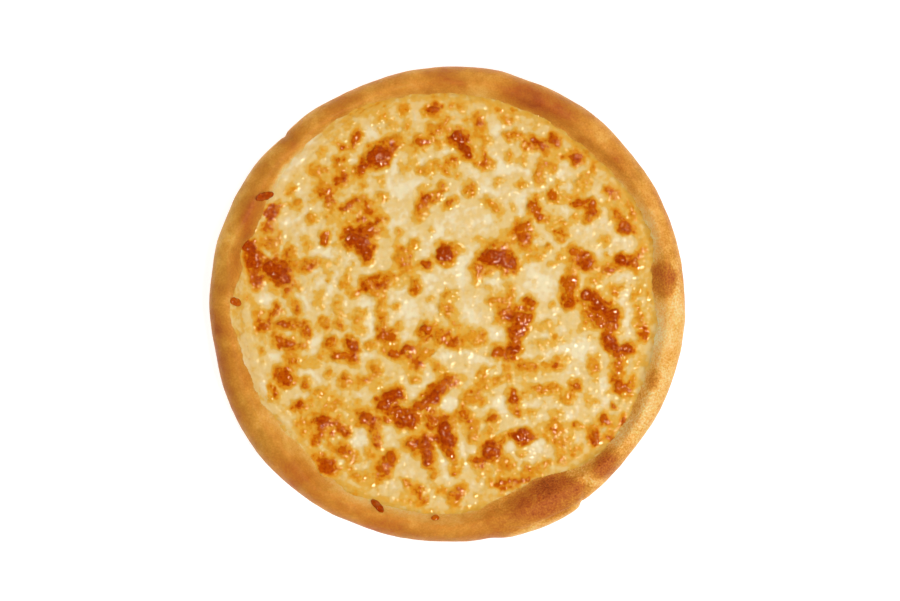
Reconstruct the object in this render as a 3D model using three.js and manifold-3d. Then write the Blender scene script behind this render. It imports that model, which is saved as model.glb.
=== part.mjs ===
// Round kashar cheese pide: a flat yeast loaf with a raised, uneven rim, and a
// field of melted, browned cheese that fills the dished middle.
// Millimetres, +Z up, origin at the middle of the underside.

import * as THREE from 'three';
import { mergeVertices } from 'three/addons/utils/BufferGeometryUtils.js';
import Module from 'manifold-3d';

const wasm = await Module();
wasm.setup();

// Driving dimensions
const DIAMETER = 259.6;
const CROWN_HEIGHT = 18.8;
const CROWN_INSET = 9.2;
const WIDEST_HEIGHT = 7.4;
const RIM_WIDTH = 19.3;
const BASE_THICKNESS = 5.5;
const LIP_HEIGHT = 9.3;
const CHEESE_LEVEL = 9.4;
const CLEARANCE = 0.3;

// How finely the two bodies are divided
const SEGMENTS = 180;
const LOWER_WALL_STEPS = 4;
const UPPER_WALL_STEPS = 5;
const INNER_SLOPE_STEPS = 6;
const CHEESE_RINGS = SEGMENTS / 6;

const OUTER_RADIUS = DIAMETER / 2;
const CHEESE_RADIUS = OUTER_RADIUS - RIM_WIDTH;
const DEGREE = Math.PI / 180;
const GOLDEN_TURN = Math.PI * (3 - Math.sqrt(5));
const WELD_DISTANCE = 1e-4;

// Where the outline swells or draws in: middle and spread in degrees, amount in mm
const OUTLINE_SWELLS = [
  { name: 'full lower left', at: 221, spread: 15, by: 2.1 },
  { name: 'lower right bulge', at: 293.5, spread: 8.2, by: 2.2, edge: 8 },
  { name: 'flat after the bulge', at: 322, spread: 9, by: -1.5 },
  { name: 'flat upper left', at: 113, spread: 9.5, by: -1.6 },
  { name: 'flat bottom', at: 268, spread: 9, by: -0.8 },
  { name: 'top knuckle', at: 79, spread: 3.5, by: 0.9 },
  { name: 'pinch', at: 135.5, spread: 2, by: -0.7 },
  { name: 'left side', at: 168, spread: 14, by: 0.7 },
  { name: 'right side', at: 5, spread: 20, by: -0.7 },
];

// The same for the edge of the cheese
const CHEESE_EDGE_SWELLS = [
  { name: 'upper right reach', at: 22, spread: 8, by: 3.6 },
  { name: 'top reach', at: 105, spread: 11, by: 1.5 },
  { name: 'browned chunk on the slope', at: 166, spread: 3.4, by: 4.6 },
  { name: 'wide bare slope', at: 200, spread: 20, by: -3.2 },
  { name: 'browned flake on the slope', at: 233.5, spread: 2.6, by: 3.8 },
  { name: 'lower left reach', at: 243, spread: 5, by: 2.0 },
  { name: 'bottom reach', at: 266, spread: 7, by: 1.4 },
  { name: 'crust pushed in by the bulge', at: 295, spread: 7, by: -6.0 },
  { name: 'lower right reach', at: 323, spread: 6, by: 4.0 },
  { name: 'right notch', at: 2, spread: 6, by: -1.7 },
];

// And for the height of the crown
const CROWN_SWELLS = [
  { name: 'puffed bulge', at: 295, spread: 9, by: 2.6 },
  { name: 'pinch', at: 135, spread: 3, by: -1.5 },
  { name: 'full lower left', at: 220, spread: 14, by: 1.0 },
  { name: 'low stretch', at: 324, spread: 9, by: -1.2 },
  { name: 'fold after the bulge', at: 307, spread: 2, by: -1.4 },
  { name: 'toasted upper right', at: 62, spread: 10, by: 0.6 },
];

// Slow waves round the rim and round the edge of the cheese that don't repeat:
// how many round the loaf, start in radians, and amount in mm
const RIM_WAVES = [
  { count: 7, start: 0.8, by: 0.13 },
  { count: 12, start: 2.1, by: 0.13 },
  { count: 19, start: 4.0, by: 0.09 },
];
const CHEESE_EDGE_WAVES = [
  { count: 11, start: 1.0, by: 0.6 },
  { count: 17, start: 3.0, by: 0.4 },
];
const CROWN_WAVE_SHIFT = 40;

// Blisters that stand up from the crust: place in degrees and mm from the
// middle, half length along the rim, half width across it, and rise in mm
const CRUST_BLISTERS = [
  { at: 6.5, radius: 117, along: 8, across: 6, rise: 1.8 },
  { at: 64, radius: 119, along: 13, across: 7, rise: 0.8 },
  { at: 91, radius: 121, along: 9, across: 6, rise: 0.7 },
  { at: 152, radius: 118, along: 10, across: 6, rise: 0.9 },
  { at: 195, radius: 124, along: 11, across: 6, rise: 0.8 },
  { at: 229, radius: 121, along: 12, across: 8, rise: 0.9 },
  { at: 296, radius: 112, along: 13, across: 8, rise: 1.6 },
  { at: 314, radius: 121, along: 10, across: 7, rise: 1.4 },
];
const CRUST_BLISTER_REACH = 1.5;

// Browned shreds of cheese that lie on the crust beside the field
const STRAY_SHREDS = [
  { at: 149.5, radius: 116.4, length: 11.4, width: 3.9, turn: 12 },
  { at: 179.3, radius: 115.2, length: 6.4, width: 2.9, turn: 3 },
  { at: 250.8, radius: 116.6, length: 9.2, width: 4.2, turn: -57 },
  { at: 266.4, radius: 116.0, length: 3.8, width: 3.4, turn: 20 },
];
const SHRED_THICKNESS = 2.6;
const SHRED_SINK = 0.45;
const SHRED_SIDES = 8;
const SHRED_CAP_STEPS = 3;

// The largest browned blisters of the cheese: middle, length and width in mm,
// turn in degrees from +X, and rise in mm
const CHEESE_BLISTERS = [
  { x: -40.6, y: 79.8, length: 22, width: 9, turn: 25, rise: 2.2 },
  { x: -47.1, y: 33.5, length: 23, width: 12, turn: -35, rise: 2.4 },
  { x: 6.8, y: 86.4, length: 18, width: 8, turn: -50, rise: 2.2 },
  { x: -7.9, y: 106, length: 9, width: 6, turn: 0, rise: 1.4 },
  { x: -93.5, y: 18.3, length: 19, width: 11, turn: -40, rise: 2.4 },
  { x: -107, y: 27, length: 19, width: 9, turn: -65, rise: 2.6 },
  { x: -96.2, y: 49.3, length: 8, width: 5, turn: 60, rise: 1.8 },
  { x: -66.2, y: -88.6, length: 10, width: 9, turn: -45, rise: 2.6 },
  { x: -86, y: -12.8, length: 17, width: 7, turn: -10, rise: 1.8 },
  { x: -86.4, y: -21, length: 17, width: 6, turn: -15, rise: 1.8 },
  { x: -89, y: -40, length: 10, width: 9, turn: -45, rise: 1.8 },
  { x: -55, y: -26, length: 16, width: 8, turn: -30, rise: 1.9 },
  { x: -2.5, y: 28, length: 11, width: 11, turn: 0, rise: 2.2 },
  { x: 26.4, y: 25.3, length: 24, width: 10, turn: -8, rise: 2.4 },
  { x: 38.4, y: -8.4, length: 13, width: 11, turn: -60, rise: 2.0 },
  { x: -11.7, y: -14.4, length: 8, width: 7, turn: 30, rise: 1.8 },
  { x: -25.3, y: -24.8, length: 16, width: 7, turn: 10, rise: 2.0 },
  { x: 65.1, y: 7.9, length: 17, width: 8, turn: -85, rise: 1.9 },
  { x: 78.2, y: 3, length: 18, width: 10, turn: -50, rise: 2.4 },
  { x: 88.6, y: -6.8, length: 15, width: 11, turn: -75, rise: 2.5 },
  { x: 91, y: -22, length: 19, width: 8, turn: -25, rise: 2.2 },
  { x: 73.8, y: 24.8, length: 13, width: 7, turn: -40, rise: 2.0 },
  { x: 96.7, y: 24.3, length: 14, width: 7, turn: -30, rise: 1.9 },
  { x: -30.8, y: -51, length: 17, width: 12, turn: 10, rise: 2.4 },
  { x: -24.3, y: -61.9, length: 17, width: 8, turn: -30, rise: 2.1 },
  { x: -10.1, y: -49.9, length: 21, width: 9, turn: 45, rise: 2.2 },
  { x: -1.9, y: -70.6, length: 19, width: 10, turn: -85, rise: 2.4 },
  { x: -12.3, y: -79.3, length: 19, width: 8, turn: -75, rise: 2.2 },
  { x: 21.5, y: -79.8, length: 15, width: 9, turn: 15, rise: 2.1 },
  { x: 40.6, y: -71.1, length: 11, width: 9, turn: -20, rise: 2.0 },
  { x: 30.5, y: -26, length: 16, width: 7, turn: 5, rise: 1.9 },
  { x: -45, y: -59.7, length: 10, width: 8, turn: -20, rise: 1.8 },
  { x: 77.5, y: 52.5, length: 14, width: 8, turn: -45, rise: 2.0 },
  { x: 96.2, y: 42.8, length: 11, width: 7, turn: -60, rise: 1.9 },
  { x: 39.5, y: 41.7, length: 13, width: 9, turn: 35, rise: 1.8 },
  { x: -41.7, y: 10, length: 18, width: 10, turn: -15, rise: 1.7 },
];
const LUMP_COUNT = 260;
const LUMP_LENGTH = [7, 15];
const LUMP_WIDTH = [3.6, 5.6];
const LUMP_RISE = [0.4, 1.1];
const LUMP_STRAY = 4;
const LUMP_TURN_STRAY = 0.3;
const LUMP_SEED = 11;

// A blister's foot reaches past its half length and half width by this much
const BLISTER_FOOT = 1.24;

// Within this distance of the crust the relief runs out to a share of its height
const MELT_EDGE = 5;
const MELT_SHARE = 0.35;

// A repeatable stream of numbers from 0 to 1
function drawStream(seed) {
  let state = seed;
  return () => {
    state = (state * 1664525 + 1013904223) % 4294967296;
    return state / 4294967296;
  };
}

function between([low, high], draw) {
  return low + (high - low) * draw;
}

// The shorter way round from one angle to another, in degrees
function angleApart(angle, other) {
  return THREE.MathUtils.euclideanModulo(angle - other + 180, 360) - 180;
}

// The sum of a list of swells at an angle in degrees
function swellAt(swells, angle) {
  let total = 0;
  for (const { at, spread, by, edge = 2 } of swells) {
    const away = Math.abs(angleApart(angle, at)) / (spread * Math.SQRT2);
    total += by * Math.exp(-(away ** edge));
  }
  return total;
}

// The sum of a list of waves round the rim at an angle in degrees
function wavesAt(waves, angle) {
  let total = 0;
  for (const { count, start, by } of waves) total += by * Math.sin(count * angle * DEGREE + start);
  return total;
}

function outerRadius(angle) {
  return OUTER_RADIUS + swellAt(OUTLINE_SWELLS, angle) + wavesAt(RIM_WAVES, angle);
}

function cheeseRadius(angle) {
  return CHEESE_RADIUS + swellAt(CHEESE_EDGE_SWELLS, angle) + wavesAt(CHEESE_EDGE_WAVES, angle);
}

function crownHeight(angle) {
  return CROWN_HEIGHT + swellAt(CROWN_SWELLS, angle) + wavesAt(RIM_WAVES, angle + CROWN_WAVE_SHIFT);
}

// A rounded dome of height 1 in the middle that ends at distance 1
function dome(distance) {
  return distance >= 1 ? 0 : (1 - distance * distance) ** 1.5;
}

// How far the crust's blisters lift a point of the crust
function crustLift(angle, radius) {
  let lift = 0;
  for (const blister of CRUST_BLISTERS) {
    const along = angleApart(angle, blister.at) * DEGREE * blister.radius / blister.along;
    const across = (radius - blister.radius) / blister.across;
    lift += blister.rise * dome(Math.hypot(along, across) / CRUST_BLISTER_REACH);
  }
  return lift;
}

// Section of the loaf from the middle of its underside, round the rim, down
// the inner slope and along the floor of the dish
function loafSection() {
  const points = [new THREE.Vector2(0, 0)];
  const wallMiddle = OUTER_RADIUS - CROWN_INSET;
  for (let step = 0; step < LOWER_WALL_STEPS; step += 1) {
    const turn = (Math.PI / 2) * (step / LOWER_WALL_STEPS - 1);
    points.push(new THREE.Vector2(
      wallMiddle + CROWN_INSET * Math.cos(turn),
      WIDEST_HEIGHT * (1 + Math.sin(turn)),
    ));
  }
  for (let step = 0; step < UPPER_WALL_STEPS; step += 1) {
    const turn = (Math.PI / 2) * (step / UPPER_WALL_STEPS);
    points.push(new THREE.Vector2(
      wallMiddle + CROWN_INSET * Math.cos(turn),
      WIDEST_HEIGHT + (CROWN_HEIGHT - WIDEST_HEIGHT) * Math.sin(turn),
    ));
  }
  for (let step = 0; step <= INNER_SLOPE_STEPS; step += 1) {
    const part = step / INNER_SLOPE_STEPS;
    points.push(new THREE.Vector2(
      THREE.MathUtils.lerp(wallMiddle, CHEESE_RADIUS, part),
      LIP_HEIGHT + (CROWN_HEIGHT - LIP_HEIGHT) * (0.5 + 0.5 * Math.cos(Math.PI * part)),
    ));
  }
  points.push(new THREE.Vector2(CHEESE_RADIUS, BASE_THICKNESS));
  points.push(new THREE.Vector2(0, BASE_THICKNESS));
  return points;
}

// Turns the round, even loaf into the real, uneven one
function shapeLoaf(geometry) {
  const position = geometry.attributes.position;
  const point = new THREE.Vector3();
  for (let index = 0; index < position.count; index += 1) {
    point.fromBufferAttribute(position, index);
    const radius = Math.hypot(point.x, point.y);
    const turn = Math.atan2(point.y, point.x);
    const angle = turn / DEGREE;
    const inner = cheeseRadius(angle);
    const newRadius = radius <= CHEESE_RADIUS
      ? radius * inner / CHEESE_RADIUS
      : THREE.MathUtils.mapLinear(radius, CHEESE_RADIUS, OUTER_RADIUS, inner, outerRadius(angle));
    let height = point.z;
    if (height > WIDEST_HEIGHT) {
      const share = (height - WIDEST_HEIGHT) / (CROWN_HEIGHT - WIDEST_HEIGHT);
      height += share * (crownHeight(angle) - CROWN_HEIGHT);
      height += Math.min(1, 2 * share) * crustLift(angle, newRadius);
    }
    position.setXYZ(index, newRadius * Math.cos(turn), newRadius * Math.sin(turn), height);
  }
  return geometry;
}

// Height of the crust's top at a place on the inner slope or the crown
function crustTop(angle, radius) {
  const inner = cheeseRadius(angle);
  const outer = outerRadius(angle);
  const crown = THREE.MathUtils.mapLinear(OUTER_RADIUS - CROWN_INSET, CHEESE_RADIUS, OUTER_RADIUS, inner, outer);
  const part = THREE.MathUtils.clamp((crown - radius) / (crown - inner), 0, 1);
  const rise = crownHeight(angle) - LIP_HEIGHT;
  return LIP_HEIGHT + rise * (0.5 + 0.5 * Math.cos(Math.PI * part)) + crustLift(angle, radius);
}

function closedMesh(geometry) {
  geometry.deleteAttribute('normal');
  geometry.deleteAttribute('uv');
  return mergeVertices(geometry, WELD_DISTANCE);
}

function toSolid(geometry) {
  const merged = closedMesh(geometry);
  const index = merged.index.array;
  const corners = [];
  for (let at = 0; at < index.length; at += 3) {
    const [a, b, c] = [index[at], index[at + 1], index[at + 2]];
    if (a !== b && b !== c && c !== a) corners.push(a, b, c);
  }
  return new wasm.Manifold(new wasm.Mesh({
    numProp: 3,
    vertProperties: merged.attributes.position.array,
    triVerts: new Uint32Array(corners),
  }));
}

function toGeometry(solid) {
  const mesh = solid.getMesh();
  const geometry = new THREE.BufferGeometry();
  geometry.setAttribute('position', new THREE.BufferAttribute(mesh.vertProperties, mesh.numProp));
  geometry.setIndex(new THREE.BufferAttribute(mesh.triVerts, 1));
  return geometry;
}

// One flattened, round-ended shred, laid along the slope of the crust
function strayShred({ at, radius, length, width, turn }) {
  const shred = new THREE.CapsuleGeometry(
    width / 2,
    Math.max(length - width, 0.2),
    SHRED_CAP_STEPS,
    SHRED_SIDES,
    1,
  );
  shred.rotateZ(-Math.PI / 2);
  shred.scale(1, 1, SHRED_THICKNESS / width);
  shred.rotateZ(turn * DEGREE);
  const step = 1;
  const slope = (crustTop(at, radius + step) - crustTop(at, radius - step)) / (2 * step);
  const outward = at * DEGREE;
  const tilt = new THREE.Matrix4().makeRotationAxis(
    new THREE.Vector3(Math.sin(outward), -Math.cos(outward), 0),
    Math.atan(slope),
  );
  shred.applyMatrix4(tilt);
  shred.translate(
    radius * Math.cos(outward),
    radius * Math.sin(outward),
    crustTop(at, radius) + SHRED_THICKNESS / 2 - SHRED_SINK,
  );
  return shred;
}

function makeBread() {
  const loaf = new THREE.LatheGeometry(loafSection(), SEGMENTS);
  loaf.rotateX(Math.PI / 2);
  let solid = toSolid(shapeLoaf(loaf));
  for (const shred of STRAY_SHREDS) {
    solid = solid.add(toSolid(strayShred(shred)));
  }
  return toGeometry(solid);
}

// Smaller lumps, spread evenly over the field by the golden angle
function cheeseLumps() {
  const draw = drawStream(LUMP_SEED);
  const lumps = [];
  for (let count = 0; count < LUMP_COUNT; count += 1) {
    const radius = CHEESE_RADIUS * Math.sqrt((count + 0.5) / LUMP_COUNT) + LUMP_STRAY * (draw() - 0.5);
    const turn = count * GOLDEN_TURN + LUMP_TURN_STRAY * (draw() - 0.5);
    lumps.push({
      x: radius * Math.cos(turn),
      y: radius * Math.sin(turn),
      length: between(LUMP_LENGTH, draw()),
      width: between(LUMP_WIDTH, draw()),
      turn: 180 * draw(),
      rise: between(LUMP_RISE, draw()),
    });
  }
  return lumps;
}

const CHEESE_RELIEF = [...CHEESE_BLISTERS, ...cheeseLumps()].map((lump) => ({
  ...lump,
  cos: Math.cos(lump.turn * DEGREE),
  sin: Math.sin(lump.turn * DEGREE),
}));

function cheeseLift(x, y) {
  let lift = 0;
  for (const lump of CHEESE_RELIEF) {
    const along = ((x - lump.x) * lump.cos + (y - lump.y) * lump.sin) / (lump.length / 2);
    const across = ((y - lump.y) * lump.cos - (x - lump.x) * lump.sin) / (lump.width / 2);
    lift = Math.max(lift, lump.rise * dome(Math.hypot(along, across) / BLISTER_FOOT));
  }
  return lift;
}

// Top of the cheese: full relief inside, running out level against the crust
function cheeseTop(x, y) {
  const radius = Math.hypot(x, y);
  const angle = Math.atan2(y, x) / DEGREE;
  const inside = THREE.MathUtils.clamp((cheeseRadius(angle) - radius) / MELT_EDGE, MELT_SHARE, 1);
  return CHEESE_LEVEL + inside * cheeseLift(x, y);
}

// A slab of melted cheese: rings of points that keep one spacing all over,
// so ring k has 6 k points, with a flat underside and an upright edge
function makeCheese() {
  const places = [];
  const corners = [];
  const ringStart = (ring) => (ring === 0 ? 0 : 1 + 3 * ring * (ring - 1));
  for (let ring = 0; ring <= CHEESE_RINGS; ring += 1) {
    const count = Math.max(1, 6 * ring);
    for (let step = 0; step < count; step += 1) {
      const turn = (2 * Math.PI * step) / count;
      const radius = (cheeseRadius(turn / DEGREE) - CLEARANCE) * ring / CHEESE_RINGS;
      const x = radius * Math.cos(turn);
      const y = radius * Math.sin(turn);
      places.push(x, y, cheeseTop(x, y));
    }
  }
  for (let ring = 1; ring <= CHEESE_RINGS; ring += 1) {
    const inner = (step) => ringStart(ring - 1) + step % Math.max(1, 6 * (ring - 1));
    const outer = (step) => ringStart(ring) + step % (6 * ring);
    for (let side = 0; side < 6; side += 1) {
      for (let step = 0; step < ring; step += 1) {
        const out = side * ring + step;
        const back = side * (ring - 1) + step;
        corners.push(inner(back), outer(out), outer(out + 1));
        if (step < ring - 1) corners.push(inner(back), outer(out + 1), inner(back + 1));
      }
    }
  }
  const rimStart = ringStart(CHEESE_RINGS);
  const bottomStart = places.length / 3;
  for (let step = 0; step < SEGMENTS; step += 1) {
    const at = 3 * (rimStart + step);
    places.push(places[at], places[at + 1], BASE_THICKNESS + CLEARANCE);
  }
  const bottomMiddle = bottomStart + SEGMENTS;
  places.push(0, 0, BASE_THICKNESS + CLEARANCE);
  for (let step = 0; step < SEGMENTS; step += 1) {
    const next = (step + 1) % SEGMENTS;
    const [top, topNext] = [rimStart + step, rimStart + next];
    const [low, lowNext] = [bottomStart + step, bottomStart + next];
    corners.push(top, low, topNext);
    corners.push(low, lowNext, topNext);
    corners.push(bottomMiddle, lowNext, low);
  }
  const geometry = new THREE.BufferGeometry();
  geometry.setAttribute('position', new THREE.Float32BufferAttribute(places, 3));
  geometry.setIndex(corners);
  return geometry;
}

// Puts the loaf's bounding box over the origin
function middleOf(geometry) {
  geometry.computeBoundingBox();
  const middle = geometry.boundingBox.getCenter(new THREE.Vector3());
  return new THREE.Vector3(middle.x, middle.y, 0);
}

const breadGeometry = makeBread();
const cheeseGeometry = makeCheese();
const middle = middleOf(breadGeometry);
for (const geometry of [breadGeometry, cheeseGeometry]) {
  geometry.translate(-middle.x, -middle.y, 0);
  geometry.computeVertexNormals();
}

const bread = new THREE.Mesh(breadGeometry, new THREE.MeshStandardMaterial({
  color: 0xc9873c,
  roughness: 0.62,
  metalness: 0,
}));
bread.name = 'bread';

const cheese = new THREE.Mesh(cheeseGeometry, new THREE.MeshStandardMaterial({
  color: 0xe6bd6a,
  roughness: 0.35,
  metalness: 0,
}));
cheese.name = 'cheese';

const pide = new THREE.Group();
pide.add(bread, cheese);

export default pide;
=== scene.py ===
"""A round kashar cheese pide on a pale floor, seen from straight above.

The loaf's curves are worked out in millimetres from the middle of the dish, and each
finished mesh is moved to the part's frame and scaled to metres. Angles are in degrees,
anticlockwise from +X.
"""

import itertools
import logging
import math
from collections.abc import Iterable
from dataclasses import dataclass
from enum import Enum

import bmesh
import bpy
import numpy as np
from mathutils import Euler, Matrix, Vector


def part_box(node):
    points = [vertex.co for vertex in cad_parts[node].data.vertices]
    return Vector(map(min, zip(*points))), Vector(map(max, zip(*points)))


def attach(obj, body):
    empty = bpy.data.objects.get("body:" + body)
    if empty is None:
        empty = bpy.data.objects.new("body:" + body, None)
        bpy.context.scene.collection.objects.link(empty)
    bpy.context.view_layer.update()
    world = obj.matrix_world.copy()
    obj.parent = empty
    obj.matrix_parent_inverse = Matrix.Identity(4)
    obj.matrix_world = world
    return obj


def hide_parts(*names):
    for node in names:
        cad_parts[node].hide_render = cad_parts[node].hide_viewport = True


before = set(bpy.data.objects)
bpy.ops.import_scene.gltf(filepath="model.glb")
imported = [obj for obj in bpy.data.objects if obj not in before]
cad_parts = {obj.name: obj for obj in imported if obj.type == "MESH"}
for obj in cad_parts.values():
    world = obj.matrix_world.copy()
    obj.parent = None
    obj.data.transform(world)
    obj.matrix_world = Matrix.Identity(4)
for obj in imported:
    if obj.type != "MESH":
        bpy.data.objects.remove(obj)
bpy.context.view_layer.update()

log = logging.getLogger("pide")

MM = 0.001
TINY = 1e-6

# The painted spot edge falls from 1 to 0 over this many millimetres, from inside a spot outwards.
EDGE_SPAN = 8.0

Array = np.ndarray
Span = tuple[float, float]
Colour = tuple[int, int, int]
Tones = tuple[tuple[float, Colour], ...]
Grain = tuple[float, float, float]
Mesh = bpy.types.Mesh
Object = bpy.types.Object
Material = bpy.types.Material
Socket = bpy.types.NodeSocket


def rows_of(kind: type, *rows: tuple) -> tuple:
    """Make one thing of a kind from each row of its values."""
    return tuple(kind(*row) for row in rows)


class Sum(Enum):
    """What a shader's math node works out."""

    ADD = "ADD"
    SUBTRACT = "SUBTRACT"
    MULTIPLY = "MULTIPLY"
    MULTIPLY_ADD = "MULTIPLY_ADD"
    MINIMUM = "MINIMUM"
    MAXIMUM = "MAXIMUM"
    ABSOLUTE = "ABSOLUTE"
    SINE = "SINE"


@dataclass(frozen=True)
class PhotoFrame:
    """Where the photograph's pixels lie on the loaf."""

    columns: int = 900
    rows: int = 601
    middle_column: float = 448.5
    middle_row: float = 304.5
    pixel: float = 0.545

    def place(self, column: float, row: float) -> tuple[float, float]:
        """Turn a pixel into a place on the loaf.

        Args:
            column: Pixels from the photograph's left edge.
            row: Pixels from its top edge.

        Returns:
            X and Y in millimetres from the middle of the dish.
        """
        return (column - self.middle_column) * self.pixel, (self.middle_row - row) * self.pixel


@dataclass(frozen=True)
class Ripple:
    """One reading of the noise: its hills' width and height in millimetres, and its shift."""

    size: float
    by: float
    shift: float = 0.0


class Noise:
    """Smooth noise over points in space, the same on every run."""

    LATTICE = 256
    SPREAD = 1.7

    def __init__(self, seed: int) -> None:
        """Draw the lattice's slopes.

        Args:
            seed: Start of the random draw.
        """
        draw = np.random.default_rng(seed)
        self.order = draw.permutation(self.LATTICE)
        slopes = draw.normal(size=(self.LATTICE, 3))
        self.slopes = slopes / np.linalg.norm(slopes, axis=1, keepdims=True)

    def at(self, points: Array, size: float, shift: float = 0.0) -> Array:
        """Read the noise.

        Args:
            points: One row of X, Y and Z for each point.
            size: Width of one hill and hollow, in the points' units.
            shift: Moves the pattern, so that two readings differ.

        Returns:
            One value for each point, mostly between -1 and 1.
        """
        spots = points / size + shift
        cell = np.floor(spots).astype(int)
        part = spots - cell
        fade = part**3 * (part * (part * 6 - 15) + 10)
        height = np.zeros(len(points))
        for corner in itertools.product((0, 1), repeat=3):
            key = (cell + corner) % self.LATTICE
            pick = self.order[key[:, 0]] + key[:, 1]
            pick = self.order[pick % self.LATTICE] + key[:, 2]
            pick = self.order[pick % self.LATTICE]
            weight = np.prod(np.where(corner, fade, 1 - fade), axis=1)
            height += weight * np.einsum("ij,ij->i", self.slopes[pick], part - corner)
        return height * self.SPREAD

    def of(self, points: Array, *ripples: Ripple) -> Array:
        """Add up ripples of the noise at each point."""
        return sum(one.by * self.at(points, one.size, one.shift) for one in ripples)


@dataclass(frozen=True)
class Swell:
    """One place round the loaf where a curve swells or draws in."""

    at: float
    spread: float
    by: float
    edge: float = 2.0

    def along(self, angle: Array) -> Array:
        """Give the swell's amount at each angle."""
        away = np.abs(angle_apart(angle, self.at)) / (self.spread * math.sqrt(2))
        return self.by * np.exp(-(away**self.edge))


@dataclass(frozen=True)
class Wave:
    """A slow wave that runs a whole number of times round the loaf."""

    count: int
    start: float
    by: float

    def along(self, angle: Array) -> Array:
        """Give the wave's amount at each angle."""
        return self.by * np.sin(self.count * np.radians(angle) + self.start)


@dataclass(frozen=True)
class CrustBlister:
    """A low dome on the crust: half length along the rim, half width across it."""

    at: float
    radius: float
    along: float
    across: float
    rise: float


def angle_apart(angle: Array, other: float) -> Array:
    """Give the shorter way round from one angle to others, in degrees."""
    return (angle - other + 180) % 360 - 180


def total(parts: Iterable[Swell | Wave], angle: Array) -> Array:
    """Add up swells and waves at each angle."""
    return sum(part.along(angle) for part in parts)


def dome(distance: Array) -> Array:
    """Give a rounded dome of height 1 in the middle that ends at distance 1."""
    return np.clip(1 - distance**2, 0, None) ** 1.5


def smooth_step(value: Array, low: float, high: float) -> Array:
    """Rise smoothly from 0 at low to 1 at high."""
    part = np.clip((value - low) / (high - low), 0, 1)
    return part * part * (3 - 2 * part)


def fall_off(distance: Array, width: float) -> Array:
    """Fall softly from 1 well inside an edge to 0 well outside it."""
    return 1 / (1 + np.exp(np.clip(distance / width, -30, 30)))


def linear(colour: Colour) -> tuple[float, float, float, float]:
    """Turn a colour as seen on a screen, 0 to 255, into a shader's linear colour."""
    return tuple((part / 255) ** 2.2 for part in colour) + (1.0,)


def from_least(least: float, value: Array) -> Array:
    """Rise from least where a value is 0 to 1 where it is 1."""
    return least + (1 - least) * value


def polar(points: Array) -> tuple[Array, Array]:
    """Give each point's angle and radius."""
    return np.degrees(np.arctan2(points[:, 1], points[:, 0])), np.hypot(points[:, 0], points[:, 1])


def placed(angle: Array, radius: Array, height: Array) -> Array:
    """Turn angles, radii and heights into points."""
    turn = np.radians(angle)
    return np.stack([radius * np.cos(turn), radius * np.sin(turn), height], 1)


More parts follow.
